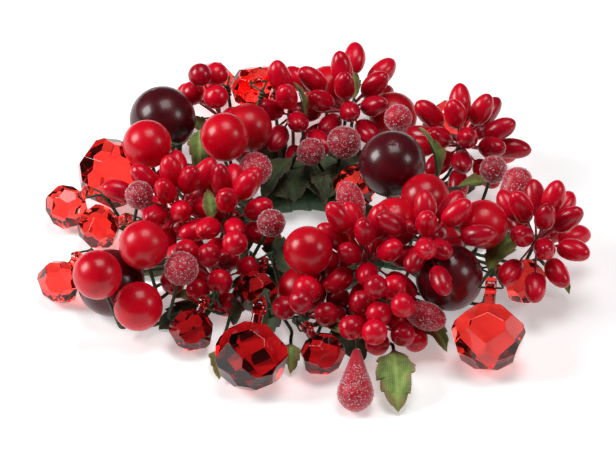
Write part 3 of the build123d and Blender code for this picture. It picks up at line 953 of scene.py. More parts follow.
def route(pick: str, target: Points, knees: Sequence[Place] = ()) -> Points:
    """The corners of a stem, from the end of its pick's trunk to its target.

    Args:
        pick: the pick that the stem belongs to.
        target: where it ends.
        knees: places where it bends; without any it turns up just short of its target.

    Returns:
        The corners, in mm.
    """
    start = polar(TRUNK_TURNS[pick], TRUNK_REACH, HOOP_RISE)
    reach = math.hypot(target[0], target[1])
    if knees:
        bends = [place(knee) for knee in knees]
    elif reach > TRUNK_REACH + KNEE_SETBACK:
        turn = math.degrees(math.atan2(target[1], target[0]))
        bends = [polar(turn, max(reach - KNEE_SETBACK, TRUNK_REACH + WIRE_RADIUS), HOOP_RISE)]
    else:
        bends = []
    return np.array([start, *bends, target])


# Spindles under the tape: distances along, and the radii there, in mm
TRUNK_SPINDLE = ((0, 3.2, 6.0, 8.4, 9.5), (1.5, 1.55, 1.4, 1.0, 0.62))
KNOT_SPINDLE = ((0, 0.8, 2.6, 3.6, 4.1), (0.58, 1.0, 1.5, 1.1, 0.5))


@dataclass
class Pick:
    """The wires of one pick: stems in paper, threads to pips and bindings of tape."""

    name: str
    wires: list[Skin] = field(default_factory=list)
    threads: list[Skin] = field(default_factory=list)
    bindings: list[Skin] = field(default_factory=list)
    columns: int = 10
    wrap_pitch: float = 1.7
    wrap_step: float = 0.07
    trunk_reaches: tuple[float, ...] = (22.0, 25.0, 27.5, 31.5)
    twist_turns: float = 3.0
    twist_radius: float = 0.72
    twist_start: float = -0.4
    twist_length: float = 2.9
    thread_radius: float = 0.36
    thread_taper: float = 0.08
    thread_lay: float = 0.02
    knot_ends: tuple[float, float] = (2.6, 1.5)  # before and after its middle

    def stem(self, corners: Points, stop: float = 0.0) -> None:
        """Adds a paper-covered stem.

        Args:
            corners: its corners, in mm.
            stop: how far short of the last corner it ends, in mm.
        """
        corners = np.array(corners, float)
        corners[-1] -= unit(corners[-1] - corners[-2]) * stop
        cover = wound(WIRE_RADIUS - self.wrap_step, self.wrap_step, self.wrap_pitch)
        self.wires.append(tube(softened(corners), cover, self.columns, 0.42))

    def bail(self, corners: Points) -> None:
        """Adds a bail of thinner covered wire through its corners, in mm."""
        cover = wound(BAIL_COVER_RADIUS - 0.04, 0.05, 1.2)
        self.wires.append(tube(softened(corners, BAIL_SETBACK), cover, self.columns, 0.3))

    def thread(self, start: Points, end: Points) -> None:
        """Adds a dipped thread, faintly three-sided, that thins as radius - taper s/length.

        Args:
            start: where it leaves the knot.
            end: where it goes into the pip.
        """
        length = float(np.linalg.norm(end - start))

        def radius(along: Points, angle: Points) -> Points:
            """Radius with the taper and the lay."""
            tapered = self.thread_radius - self.thread_taper * along / length
            return tapered + self.thread_lay * np.cos(3 * angle)

        self.threads.append(tube(np.array([start, end]), radius, 8, 0.8))

    def trunk(self) -> None:
        """Adds the taped trunk: a fat spindle that leaves the hoop and thins over the stems."""
        line = np.array([polar(TRUNK_TURNS[self.name], reach, HOOP_RISE) for reach in self.trunk_reaches])
        law = bound(*TRUNK_SPINDLE, step=0.16, pitch=2.3, thins=1.5)
        self.bindings.append(tube(line, law, 20, 0.16))

    def knot(self, centre: Points, way: Points) -> None:
        """Adds a bound knot where threads part: a spindle with laps of tape.

        Args:
            centre: the knot's middle.
            way: the direction that its stem comes in.
        """
        before, after = self.knot_ends
        law = bound(*KNOT_SPINDLE, step=0.12, pitch=1.3)
        self.bindings.append(tube(np.array([centre - way * before, centre + way * after]), law, 16, 0.14))

    def twist(self, meet: Points, way: Points) -> None:
        """Adds the bail's end twisted round its stem: a screw line of three turns.

        Args:
            meet: where the bail's sides meet.
            way: the direction of the stem there.
        """
        t = np.linspace(0, 1, 60)
        spin = FULL_TURN * self.twist_turns * t
        coil = np.stack([self.twist_radius * np.cos(spin), self.twist_radius * np.sin(spin),
                         self.twist_start + self.twist_length * t], axis=1)
        self.wires.append(tube(Stand.along(meet, way).carry(coil), wound(0.30, 0.03, 0.9), 8, 0.22))

    def pieces(self) -> None:
        """Makes the pick's objects."""
        node = f"pick_stems_{self.name}"
        fit_out(gather(f"stems_{self.name}", self.wires), WIRE_PAPER, RING_BODY, [node])
        fit_out(gather(f"bindings_{self.name}", self.bindings), TAPE, RING_BODY)
        if self.threads:
            fit_out(gather(f"threads_{self.name}", self.threads), THREAD, RING_BODY)


# Beads


BEAD_LUMPS = {Kind.RED: 0.10, Kind.DARK: 0.14}  # mm out of round
SUGARED_LUMPS = 0.22
BARE_NECK = 0.28  # share of a teardrop's length without sugar
BEAD_SEED = 10
SUGAR_SEEDS = 100  # from one group to the next
NECK_HOLD = 4.0  # mm of stem inside a teardrop's neck


@dataclass
class Bead:
    """A berry, sugared berry, capsule or teardrop on the end of its stem."""

    kind: Kind
    seed: int
    rows: int = 44
    columns: int = 56
    hollows: tuple[float, float] = (0.10, 0.4)  # depth at the tip and at the wire, in mm
    lip: float = 0.02  # height round a hollow, in mm
    fold: float = 0.012  # mm
    neck_lean: float = 14.0  # degrees
    arc_points: int = 30

    def profile(self) -> tuple[Points, Points]:
        """Radii and heights from the stem end to the tip.

        A round or long bead is r = R cos(l), h = H sin(l). A teardrop is a ball above its
        widest part, and below it the radius falls in a straight line to the neck.

        Returns:
            The radii, and the height of each.
        """
        radius, half = self.kind.diameter / 2, self.kind.length / 2
        if not self.kind.stemmed:
            steps = pole_steps(self.rows)
            return radius * np.cos(steps), half * np.sin(steps)
        neck_height = radius - self.kind.length
        lean = math.radians(self.neck_lean)
        join = radius * np.array([math.cos(lean), -math.sin(lean)])
        steps = np.linspace(-lean, np.pi / 2, self.arc_points)
        line = np.linspace(neck_height + 0.05, join[1], self.arc_points)[:-1]
        heights = np.concatenate([[neck_height], line, radius * np.sin(steps)])
        neck = (radius + neck_height * math.sin(lean)) / math.cos(lean)
        side = np.linspace(neck, join[0], self.arc_points)[:-1]
        radii = np.concatenate([[0.0], side, radius * np.cos(steps)])
        radii[-1] = 0.0
        return radii, heights

    def skin(self, lumps: float) -> Skin:
        """The bead's surface, a little out of round, puckered at the tip and where the wire goes in.

        The pucker is a hollow -d exp(-(q/w)^2) with a soft lip, where q is the distance from
        the axis, and five faint folds run out of it.

        Args:
            lumps: how far it is out of round, in mm.

        Returns:
            The surface, in the bead's own axes.
        """
        skin = turned(*self.profile(), self.columns)
        points = skin.points
        reach = np.hypot(points[:, 0], points[:, 1])
        angle = np.arctan2(points[:, 1], points[:, 0])
        out = unit(points + 1e-9)
        swell = lumps * ripple(points, self.kind.diameter * 1.3, self.seed)
        if not self.kind.stemmed:
            tip = points[:, 2] > 0
            hollow = np.where(tip, *self.hollows) * hill(reach, 0.0, 0.8)
            lip = self.lip * hill(reach, 1.6, 0.7)
            folds = self.fold * np.cos(5 * angle + self.seed) * hill(reach, 1.1, 0.6)
            swell += np.where(tip, lip + folds, lip) - hollow
        return Skin(points + out * swell[:, None], skin.faces, skin.pattern)


def icosahedron() -> tuple[Points, Points]:
    """The twelve corners and twenty faces of an icosahedron of radius 1.

    Its corners are (0, +-1, +-g) and their cyclic shifts, with g the golden ratio, and a
    face is any three corners that are all an edge apart.

    Returns:
        The corners, and the three corners of each face.
    """
    golden = (1 + math.sqrt(5)) / 2
    base = np.array([(0, a, b * golden) for a in (-1, 1) for b in (-1, 1)])
    corners = np.vstack([np.roll(base, k, axis=1) for k in range(3)])
    near = np.linalg.norm(corners[:, None] - corners[None], axis=2) < 2.1
    faces = np.array([(i, j, k) for i, j, k in combinations(range(12), 3)
                      if near[i, j] and near[j, k] and near[i, k]])
    a, b, c = (corners[faces[:, k]] for k in range(3))
    inward = np.einsum("ij,ij->i", np.cross(b - a, c - a), a) < 0
    faces[inward] = faces[inward][:, ::-1]
    return unit(corners), faces


@dataclass
class SugarCoat:
    """Grains scattered over a bead's surface, twenty faces in each."""

    per_square_mm: float = 2.8
    radius: float = 0.145
    bare: float = 0.0  # share of the length, from the stem, that the sugar leaves bare
    fade: float = 0.25  # share of the length over which the sugar thickens
    sunk: float = 0.35  # how far out of the surface a grain's middle is, in radii
    spread: float = 0.22  # of the grains' sizes
    stretch: tuple[float, float] = (0.88, 1.1)
    seed: int = 5

    def skin(self, core: Skin) -> Skin:
        """Grains at random places on the core's faces, more where a face is larger.

        A place is a + sqrt(u) ((1-v)(b-a) + v (c-a)) on a triangle. Each grain is a small
        round bead, a little stretched and turned at random, and sunk in its glue.

        Args:
            core: the bead, in its own axes.

        Returns:
            The grains, with a tone for each.
        """
        draw = np.random.default_rng(self.seed)
        triangles = np.vstack([block[:, [0, 1, 2]] for block in core.faces]
                              + [block[:, [0, 2, 3]] for block in core.faces if block.shape[1] == 4])
        a, b, c = (core.points[triangles[:, k]] for k in range(3))
        areas = np.linalg.norm(np.cross(b - a, c - a), axis=1) / 2
        low, high = core.points[:, 2].min(), core.points[:, 2].max()
        share = ((a + b + c)[:, 2] / 3 - low) / (high - low)
        areas = areas * (np.clip((share - self.bare) / self.fade, 0.0, 1.0) if self.bare else 1.0)
        count = int(areas.sum() * self.per_square_mm)
        picked = draw.choice(len(areas), count, p=areas / areas.sum())
        u, v = np.sqrt(draw.random((count, 1))), draw.random((count, 1))
        a, b, c = a[picked], b[picked], c[picked]
        middles = a + u * ((1 - v) * (b - a) + v * (c - a))
        ways = unit(np.cross(b - a, c - a))
        corners, faces = icosahedron()
        sizes = self.radius * np.exp(draw.normal(0, self.spread, (count, 1)))
        sizes = sizes * draw.uniform(*self.stretch, (count, 3))
        turns = np.linalg.qr(draw.normal(size=(count, 3, 3)))[0]
        turns[np.linalg.det(turns) < 0, :, 0] *= -1
        grains = np.einsum("nij,kj,nj->nki", turns, corners, sizes)
        grains += (middles + ways * self.radius * self.sunk)[:, None]
        points = grains.reshape(-1, 3)
        all_faces = (faces[None] + len(corners) * np.arange(count)[:, None, None]).reshape(-1, 3)
        return Skin(points, [all_faces], points, np.repeat(draw.random(count), len(corners)))


@dataclass
class Beads:
    """Every bead on the ring, gathered by the CAD node that it stands for."""

    groups: dict[str, list[tuple[Kind, Skin, Stand, float]]] = field(default_factory=dict)

    def add(self, kind: Kind, side: str, corners: Points, seed: int) -> None:
        """Adds a bead at the end of its stem.

        Args:
            kind: its form.
            side: the part of the ring that its node is named for.
            corners: the corners of its stem.
            seed: fixes its lumps and tone.
        """
        stand = Stand.along(corners[-1], corners[-1] - corners[-2])
        skin = Bead(kind, seed).skin(BEAD_LUMPS.get(kind, SUGARED_LUMPS))
        self.groups.setdefault(f"{NODE_NAMES[kind]}_{side}", []).append((kind, skin, stand, one_draw(seed)))

    def pieces(self) -> None:
        """Makes the berries, and for the sugared ones a core and its coat of grains."""
        for number, (node, rows) in enumerate(self.groups.items()):
            kind = rows[0][0]
            skins = [skin.on(stand, tone) for _, skin, stand, tone in rows]
            if kind in (Kind.RED, Kind.DARK):
                finish = RED_LACQUER if kind is Kind.RED else DARK_LACQUER
                fit_out(gather(f"lacquered_{node}", skins), finish, RING_BODY, [node])
            else:
                fit_out(gather(f"core_{node}", skins), WINE_CORE, RING_BODY, [node])
                coats = []
                for k, (form, skin, stand, _) in enumerate(rows):
                    bare = BARE_NECK if form.stemmed else 0.0
                    coat = SugarCoat(bare=bare, seed=SUGAR_SEEDS * number + k).skin(skin)
                    coats.append(coat.on(stand, coat.tone))
                fit_out(gather(f"sugar_{node}", coats), SUGAR, RING_BODY)


# Pips


ROUND_SPRAYS = ("front_left", "back_left", "front", "front_middle")
PIP_SIZE = (6.2, 9.6)
ROUND_PIP_SIZE = (7.0, 7.0)
PIP_BASE_SHARE = 0.84
PIP_SWELL = (1.06, 1.10)  # the dipped pip over the CAD pip, across and along
SPRAY_TOP = 40.0  # mm, no added pip stands higher
SPRAY_PAST = 1.5  # mm past the ring's reach that an added pip may stand
MOST_ADDED = 9  # pips in each spray
ADDED_SHARES = (0.95, 0.78, 0.62, 1.25)  # of the thread's length, in the order tried
DIRECTIONS = 140  # tried in each spray
LOWEST_LIFT = -0.45  # of an added thread, as the sine of its rise
PIP_PRESS = 0.25  # mm that an added pip may press into its neighbours' balls
THREAD_PRESS = 0.6  # mm that its thread may
PIP_SEED = 1000
MORE_PIP_SEED = 3000
PIP_SEEDS = 20  # from one spray to the next
TAPE_ROOM = 4.0  # mm round the middle of the hoop
CANDLE_ROOM = 12.0  # mm round the axis
DROP_ROOM = 0.4  # mm round a drop
BAIL_ROOM = 0.25  # share of its drop's diameter
NECK_ROOM = 0.7  # share of a teardrop's radius
LEAF_ROOM = 0.17  # share of a leaf's length
DROP_SWINGS = (-50, -25, 0, 22, 45)  # degrees
THREAD_LENGTH = 13.6


@dataclass
class Pip:
    """A lacquer-dipped pip on its thread, an egg with a soft point and a collar."""

    rounded: bool
    seed: int
    girths: tuple[float, float] = (0.94, 1.02)  # spread from pip to pip
    lengths: tuple[float, float] = (0.96, 1.05)
    lean: float = 0.035  # most bend, per mm
    lumps: float = 0.11  # mm
    nib: float = 0.16  # mm

    def skin(self) -> Skin:
        """The surface r = R cos(l)^0.9 of a fat egg, whose tail draws in to the thread.

        Each pip differs by a few percent in length and girth, and leans a little.

        Returns:
            The surface, in the pip's own axes.
        """
        draw = np.random.default_rng(self.seed)
        width, length = ROUND_PIP_SIZE if self.rounded else PIP_SIZE
        radius = width / 2 * PIP_SWELL[0] * draw.uniform(*self.girths)
        half = length / 2 * (1.0 if self.rounded else PIP_SWELL[1]) * draw.uniform(*self.lengths)
        steps = pole_steps(17)
        radii = radius * np.cos(steps) ** (1.0 if self.rounded else 0.90)
        radii *= 1 + (0.0 if self.rounded else 0.05) * -np.sin(steps)
        heights = half * np.sin(steps)
        skin = turned(radii, heights, 20)
        points = skin.points
        lean = draw.uniform(-self.lean, self.lean, 2) * (0.4 if self.rounded else 1.0)
        bend = (points[:, 2:3] ** 2) * lean / 2
        lumps = self.lumps * ripple(points, 4.6, self.seed)
        moved = points + unit(points + 1e-9) * lumps[:, None]
        moved[:, :2] += bend
        nib = self.nib * hill(np.hypot(points[:, 0], points[:, 1]), 0.0, 0.5) * (points[:, 2] > 0)
        moved[:, 2] += nib
        levels = np.linspace(-half - 0.9, -half + 0.6, 8)
        collar = np.interp(levels, [-half - 0.9, -half, -half + 0.6], [0.36, 0.7, 1.2])
        tail = turned(np.concatenate([[0], collar, [0]]),
                      np.concatenate([[-half - 0.95], levels, [-half + 0.65]]), 12)
        faces = [*skin.faces, *(block + len(moved) for block in tail.faces)]
        points = np.vstack([moved, tail.points])
        return Skin(points, faces, np.vstack([skin.pattern, tail.pattern]))


@dataclass
class Room:
    """What already takes up room round the ring, as balls, so that more pips can be fitted in."""

    middles: list[Points] = field(default_factory=list)
    radii: list[float] = field(default_factory=list)

    def take(self, points: Points, radius: float) -> None:
        """Marks balls as taken.

        Args:
            points: their middles.
            radius: their radius, in mm.
        """
        for point in np.atleast_2d(points):
            self.middles.append(point)
            self.radii.append(radius)

    def gap(self, points: Points, radius: float) -> float:
        """The least gap between new balls and all that is taken.

        Args:
            points: the new balls' middles.
            radius: their radius, in mm.

        Returns:
            The gap in mm, below 0 where they overlap.
        """
        apart = np.linalg.norm(np.array(self.middles)[None] - points[:, None], axis=2)
        return float((apart - np.array(self.radii)[None]).min()) - radius

    def fill(self) -> None:
        """Takes up the room of the hoop, the candle, beads, drops in their swing, leaves and planned pips."""
        for turn in range(0, 360, 8):
            self.take(polar(turn, HOOP_REACH, HOOP_RISE), TAPE_ROOM)
        for rise in range(0, 48, 5):
            self.take(polar(0, 0, rise), CANDLE_ROOM)
        for name, _, pick, shares, knees in BEAD_ROWS:
            kind = next(kind for kind in Kind if kind.value[0] == name)
            corners = route(pick, place(shares), knees)
            way = unit(corners[-1] - corners[-2])
            radius = kind.diameter / 2
            if kind.stemmed:
                self.take(corners[-1], radius)
                self.take(corners[-1] - way * radius, radius * NECK_ROOM)
            else:
                spread = (kind.length - kind.diameter) / 2
                self.take(corners[-1] + way * np.array([[-spread], [0.0], [spread]]), radius)
        for _, _, size, shares, (eye_turn, eye_rise), _ in DROP_ROWS:
            diameter = DROP_SIZES[size]
            centre, lug_way = place(shares), aim(eye_turn, eye_rise)
            eye, pin = centre + lug_way * diameter * LUG_REACH_SHARE, aim(eye_turn + QUARTER, 0)
            self.take(eye + aim(eye_turn, 0) * diameter * BAIL_DEPTH_SHARE / 2, diameter * BAIL_ROOM)
            for angle in np.radians(DROP_SWINGS):
                arm = centre - eye
                swung = arm * math.cos(angle) + np.cross(pin, arm) * math.sin(angle)
                self.take(eye + swung, diameter / 2 + DROP_ROOM)
        for _, _, shares, (turn, rise, _), length_share, _ in LEAF_ROWS:
            along = LEAF_LENGTH * length_share * np.array([[0.25], [0.5], [0.75]])
            self.take(place(shares) + aim(turn, rise) * along, LEAF_LENGTH * length_share * LEAF_ROOM)
        for name, _, shares, _ in SPRAY_ROWS:
            centre, rounded = place(shares), name in ROUND_SPRAYS
            for turn, rise, thread_share in THREAD_ROWS[name]:
                way = aim(turn, rise)
                balls = pip_balls(centre + way * THREAD_LENGTH * thread_share, way, rounded)
                self.take(balls, pip_radius(rounded))


def pip_radius(rounded: bool) -> float:
    """A pip's radius with its lacquer."""
    return (ROUND_PIP_SIZE if rounded else PIP_SIZE)[0] / 2 * PIP_SWELL[0]


def pip_balls(middle: Points, way: Points, rounded: bool) -> Points:
    """The balls that stand for a pip.

    Args:
        middle: the pip's middle.
        way: the direction of its thread.
        rounded: True for a round pip.

    Returns:
        The middles of the balls.
    """
    spread = 0.0 if rounded else PIP_SIZE[1] / 2 * PIP_SWELL[1] - pip_radius(False)
    return middle + way * np.array([[-spread], [0.0], [spread]])


def more_threads(room: Room, centre: Points, rounded: bool) -> list[tuple[Points, Points]]:
    """Threads that still find room in a spray.

    Directions are tried on an even spiral over the ball, z = 1 - 2 (k + 0.5) / n and turn
    = k times the golden angle, first at full length and then shorter.

    Args:
        room: what is taken, to which each new pip is added.
        centre: the spray's knot.
        rounded: True for round pips.

    Returns:
        Each new thread's direction and its pip's middle.
    """
    found: list[tuple[Points, Points]] = []
    golden = math.pi * (3 - math.sqrt(5))
    k = np.arange(DIRECTIONS)
    lift = 1 - 2 * (k + 0.5) / DIRECTIONS
    level = np.sqrt(1 - lift ** 2)
    ways = np.stack([level * np.cos(golden * k), level * np.sin(golden * k), lift], axis=1)
    radius = pip_radius(rounded)
    for reach in (THREAD_LENGTH * share for share in ADDED_SHARES):
        for way in ways[lift > LOWEST_LIFT]:
            middle = centre + way * reach
            balls = pip_balls(middle, way, rounded)
            line = centre + way * np.linspace(3.0, max(3.5, reach - 6.0), 4)[:, None]
            low, high = balls[:, 2].min() - radius, balls[:, 2].max() + radius
            inside = low > 0.3 and high < SPRAY_TOP and np.hypot(*balls.T[:2]).max() < REACH + SPRAY_PAST
            if (inside and len(found) < MOST_ADDED and room.gap(balls, radius) > -PIP_PRESS
                    and room.gap(line, 0.3) > -THREAD_PRESS):
                room.take(balls, radius)
                found.append((way, middle))
    return found


def make_sprays(picks: dict[str, Pick]) -> None:
    """Makes each spray's pips, with its knot and threads added to its pick.

    Args:
        picks: every pick by its number.
    """
    room = Room()
    room.fill()
    for number, (name, pick, shares, knees) in enumerate(SPRAY_ROWS):
        centre = place(shares)
        corners = route(pick, centre, knees)
        picks[pick].stem(corners)
        picks[pick].knot(centre, unit(corners[-1] - corners[-2]))
        rounded = name in ROUND_SPRAYS
        length = ROUND_PIP_SIZE[1] if rounded else PIP_SIZE[1]
        planned = [(aim(turn, rise), centre + aim(turn, rise) * THREAD_LENGTH * share)
                   for turn, rise, share in THREAD_ROWS[name]]
        added = more_threads(room, centre, rounded)
        skins = []
        for first_seed, threads in ((PIP_SEED, planned), (MORE_PIP_SEED, added)):
            for k, (way, middle) in enumerate(threads):
                picks[pick].thread(centre, middle - way * length / 2 * PIP_BASE_SHARE)
                seed = first_seed + PIP_SEEDS * number + k
                skins.append(Pip(rounded, seed).skin().on(Stand.along(middle, way), one_draw(seed)))
        log.info("spray %s: %d pips", name, len(skins))
        fit_out(gather(f"dipped_pips_{name}", skins), PIP_LACQUER, RING_BODY, [f"pips_{name}"])


# Leaves


@dataclass
class Leaf:
    """A die-cut cloth leaf pressed over a wire rib, in mm."""

    length: float
    seed: int
    droop: tuple[float, float, float, float]
    width_share: float
    flat: bool = False
    thickness: float = 0.26
    teeth: int = 5
    tooth_cut: float = 0.20  # share of the half width
    fray: float = 0.035  # share of the half width
    vein_gap: float = 2.3
    vein_depth: float = 0.10
    ridge: tuple[float, float] = (0.16, 0.42)  # height and half width over the rib
    rows: int = 120
    columns: int = 18
    outline: tuple[tuple[float, float], ...] = (
        (0.0, 0.10), (0.05, 0.24), (0.12, 0.52), (0.22, 0.82), (0.34, 0.99), (0.46, 1.04),
        (0.58, 0.98), (0.70, 0.84), (0.81, 0.63), (0.91, 0.36), (0.97, 0.14), (1.0, 0.015))

    def drooped(self, s: Points) -> Points:
        """Height over length at each share of the length: a cubic through four marks."""
        return np.polyval(np.polyfit([0, 1 / 3, 2 / 3, 1], self.droop, 3), s)

    def skin(self) -> Skin:
        """The blade as a closed thin skin over (s along, t across).

        Half width: an outline w(s) times 1 - 0.2 (1 - f)^1.6, with f the fraction of a tooth
        passed, so each tooth ends in a point. Height: a cubic droop through the CAD blade's
        line, plus a crease along the rib, a wave of the rim, pressed veins and a ridge over
        the rib. The blade then twists about its rib by an angle that grows as s^2.

        Returns:
            The surface, with its length along X and its upper side to Z.
        """
        draw = np.random.default_rng(self.seed)
        s = np.linspace(0.0, 1.0, self.rows)
        t = np.concatenate([np.linspace(1, -1, self.columns), np.linspace(-1, 1, self.columns)])
        top = np.concatenate([np.ones(self.columns), -np.ones(self.columns)])
        s, t = s[:, None], t[None, :]
        knots = np.array(self.outline)
        half_width = self.length * self.width_share / 2
        phase = draw.uniform(0, 1, 2)
        side_phase = np.where(t > 0, phase[0], phase[1])
        pace = s + 0.02 * np.sin(FULL_TURN * (2.3 * s + side_phase))
        tooth = np.mod(pace * self.teeth + side_phase, 1.0)
        fray = self.fray * np.sin(FULL_TURN * (41 * s + 3 * side_phase)) * (s < 0.97)
        cut = (self.tooth_cut * (1 - tooth) ** 1.6 + fray) * np.clip(s * 6, 0, 1) * np.clip((1 - s) * 8, 0, 1)
        width = half_width * np.interp(s, knots[:, 0], knots[:, 1]) * (1 - cut)
        across = width * t
        sweep = 0.035 * self.length * tooth * np.abs(t) ** 3 * np.clip((1 - s) * 5, 0, 1)
        along = self.length * s + sweep
        droop = self.drooped(s) * self.length
        crease = math.radians(5.0 if self.flat else draw.uniform(10.0, 30.0))
        fold = math.sin(crease) * np.abs(across)
        run = draw.uniform(1.2, 1.9) * s + draw.random() + 0.25 * np.sign(t)
        wave = (0.008 if self.flat else 0.045) * self.length * np.sin(FULL_TURN * run)
        wave = wave * np.abs(t) ** 2.5 * np.clip(4 * s, 0, 1)
        slope = (along - 0.8 * np.abs(across)) / self.vein_gap
        veins = -self.vein_depth * hill(np.mod(slope + draw.random(), 1.0), 0.5, 0.16)
        veins = veins * np.clip(np.abs(across) * 1.5, 0, 1) * np.clip((1 - np.abs(t)) * 5, 0, 1)
        ridge = self.ridge[0] * hill(across, 0.0, self.ridge[1]) * (1 - s)
        side = top[None, :] * self.thickness / 2 * np.clip((1 - np.abs(t)) * 9, 0.25, 1)
        height = droop + fold + wave + veins + ridge + side
        twist = 0.0 if self.flat else math.radians(draw.uniform(-26.0, 26.0)) * s * s
        flatter = across * math.cos(crease)
        lifted = height - droop
        turned_across = flatter * np.cos(twist) - lifted * np.sin(twist)
        turned_height = flatter * np.sin(twist) + lifted * np.cos(twist) + droop
        rings = np.stack([along, turned_across, turned_height], axis=-1)
        rim = np.minimum(width * (1 - np.abs(t)), self.length * (1 - s))
        pattern = np.stack([along, across, rim + 0 * along], axis=-1)
        first, last = rings[0].mean(axis=0) - [0.1, 0, 0], rings[-1].mean(axis=0) + [0.15, 0, 0]
        return closed_rings(rings, first, last, pattern)

    def rib(self) -> Skin:
        """The wire rib pressed under the blade, along its droop for three quarters of its length.

        Returns:
            The surface, in the blade's own axes.
        """
        s = np.linspace(-0.02, 0.76, 14)
        droop = self.drooped(s)
        line = np.stack([s * self.length, 0 * s, droop * self.length - 0.28], axis=1)
        end = self.length * 0.78
        return tube(line, lambda along, angle: np.interp(along, [0, end], [0.42, 0.16]) + 0 * angle, 8, 0.5)


LEAF_LENGTH = 16.0
LEAF_STUB = 2.5
LEAF_SEED = 300
COVER_SEED = 400
LEAF_DROOP = (0.0, 0.07, 0.05, -0.08)
# Leaves laid over the hoop and behind the front drops: base place, turn and rise of the blade,
# length in mm
COVER_ROWS = (
    ((64, 0.42, 0.29), (238, -3), 19.0),
    ((82, 0.43, 0.30), (268, -4), 20.0),
    ((100, 0.42, 0.28), (275, -3), 20.0),
    ((118, 0.43, 0.31), (301, -4), 19.0),
    ((148, 0.42, 0.29), (322, -3), 18.0),
    ((176, 0.42, 0.28), (2, -3), 18.0),
    ((256, 0.50, 0.40), (256, -42), 17.0),
    ((244, 0.46, 0.34), (226, -50), 12.0),
    ((225, 0.34, 0.31), (95, 13), 18.0),
    ((262, 0.34, 0.31), (120, 15), 18.0),
    ((285, 0.33, 0.31), (150, 14), 17.0),
)
LOW_DROOP = (0.0, 0.02, 0.02, -0.01)
WIDTH_SHARES = {"low": 0.53, "high": 0.49, "falling": 0.62, "rising": 0.5}


def blade_stand(base: Points, turn: float, rise: float, roll: float) -> Stand:
    """How a blade lies: its length along X and its upper side to Z.

    Args:
        base: where its stalk meets it.
        turn: the turn of its length, in degrees.
        rise: the rise of its length, in degrees.
        roll: how far it is rolled about its length, in degrees.

    Returns:
        The stand.
    """
    way, lean = aim(turn, rise), math.radians(roll)
    up = np.cross(way, aim(turn + QUARTER, 0))
    up = up * math.cos(lean) + np.cross(way, up) * math.sin(lean)
    return Stand(base, np.stack([way, np.cross(up, way), up]))


def make_leaves(picks: dict[str, Pick]) -> None:
    """Makes each group of leaves, with the stems and ribs added to their picks.

    Args:
        picks: every pick by its number.
    """
    groups: dict[str, list[Skin]] = {}
    for number, (side, pick, shares, (turn, rise, roll), length_share, knees) in enumerate(LEAF_ROWS):
        base, way = place(shares), aim(turn, rise)
        picks[pick].stem(np.vstack([route(pick, base - way * LEAF_STUB, knees), base]))
        stand = blade_stand(base, turn, rise, roll)
        length, seed = LEAF_LENGTH * length_share, LEAF_SEED + number
        if side == "low":
            leaf = Leaf(length, seed, LOW_DROOP, WIDTH_SHARES["low"], flat=True)
        else:
            leaf = Leaf(length, seed, LEAF_DROOP, WIDTH_SHARES["high"])
        groups.setdefault(side, []).append(leaf.skin().on(stand, one_draw(seed) * 20))
        picks[pick].wires.append(leaf.rib().on(stand))
    for number, (shares, (turn, rise), length) in enumerate(COVER_ROWS):
        stand = blade_stand(place(shares), turn, rise, 0.0)
        leaf = Leaf(length, COVER_SEED + number, LOW_DROOP, WIDTH_SHARES["falling" if rise < 0 else "rising"])
        groups["centre"].append(leaf.skin().on(stand, 3.0 * number))
    for side, skins in groups.items():
        # The low leaves and the leaves over the hoop take the darker cloth, which paints their shade.
        finish = SHADE_CLOTH if side in ("low", "centre") else LEAF_CLOTH
        fit_out(gather(f"cloth_leaves_{side}", skins), finish, RING_BODY, [f"leaves_{side}"])


# Faceted drops


DROP_SIZES = {"large": 19.8, "small": 12.2}
DROP_TIERS = (-90, -56, -20, 16, 52, 90)
DROP_SIDES = 6
FACET_SHARE = 0.95
EDGE_SHARE = 0.007
LUG_REACH_SHARE = 0.71
LUG_RADIUS_SHARE = 0.15
LUG_WIDTH_SHARE = 0.16
EYE_RADIUS_SHARE = 0.062
BAIL_DEPTH_SHARE = 0.42
BAIL_RADIUS = 0.5
BAIL_CLEARANCE = 0.3
BAIL_COVER_RADIUS = 0.32
BAIL_SETBACK = 0.9


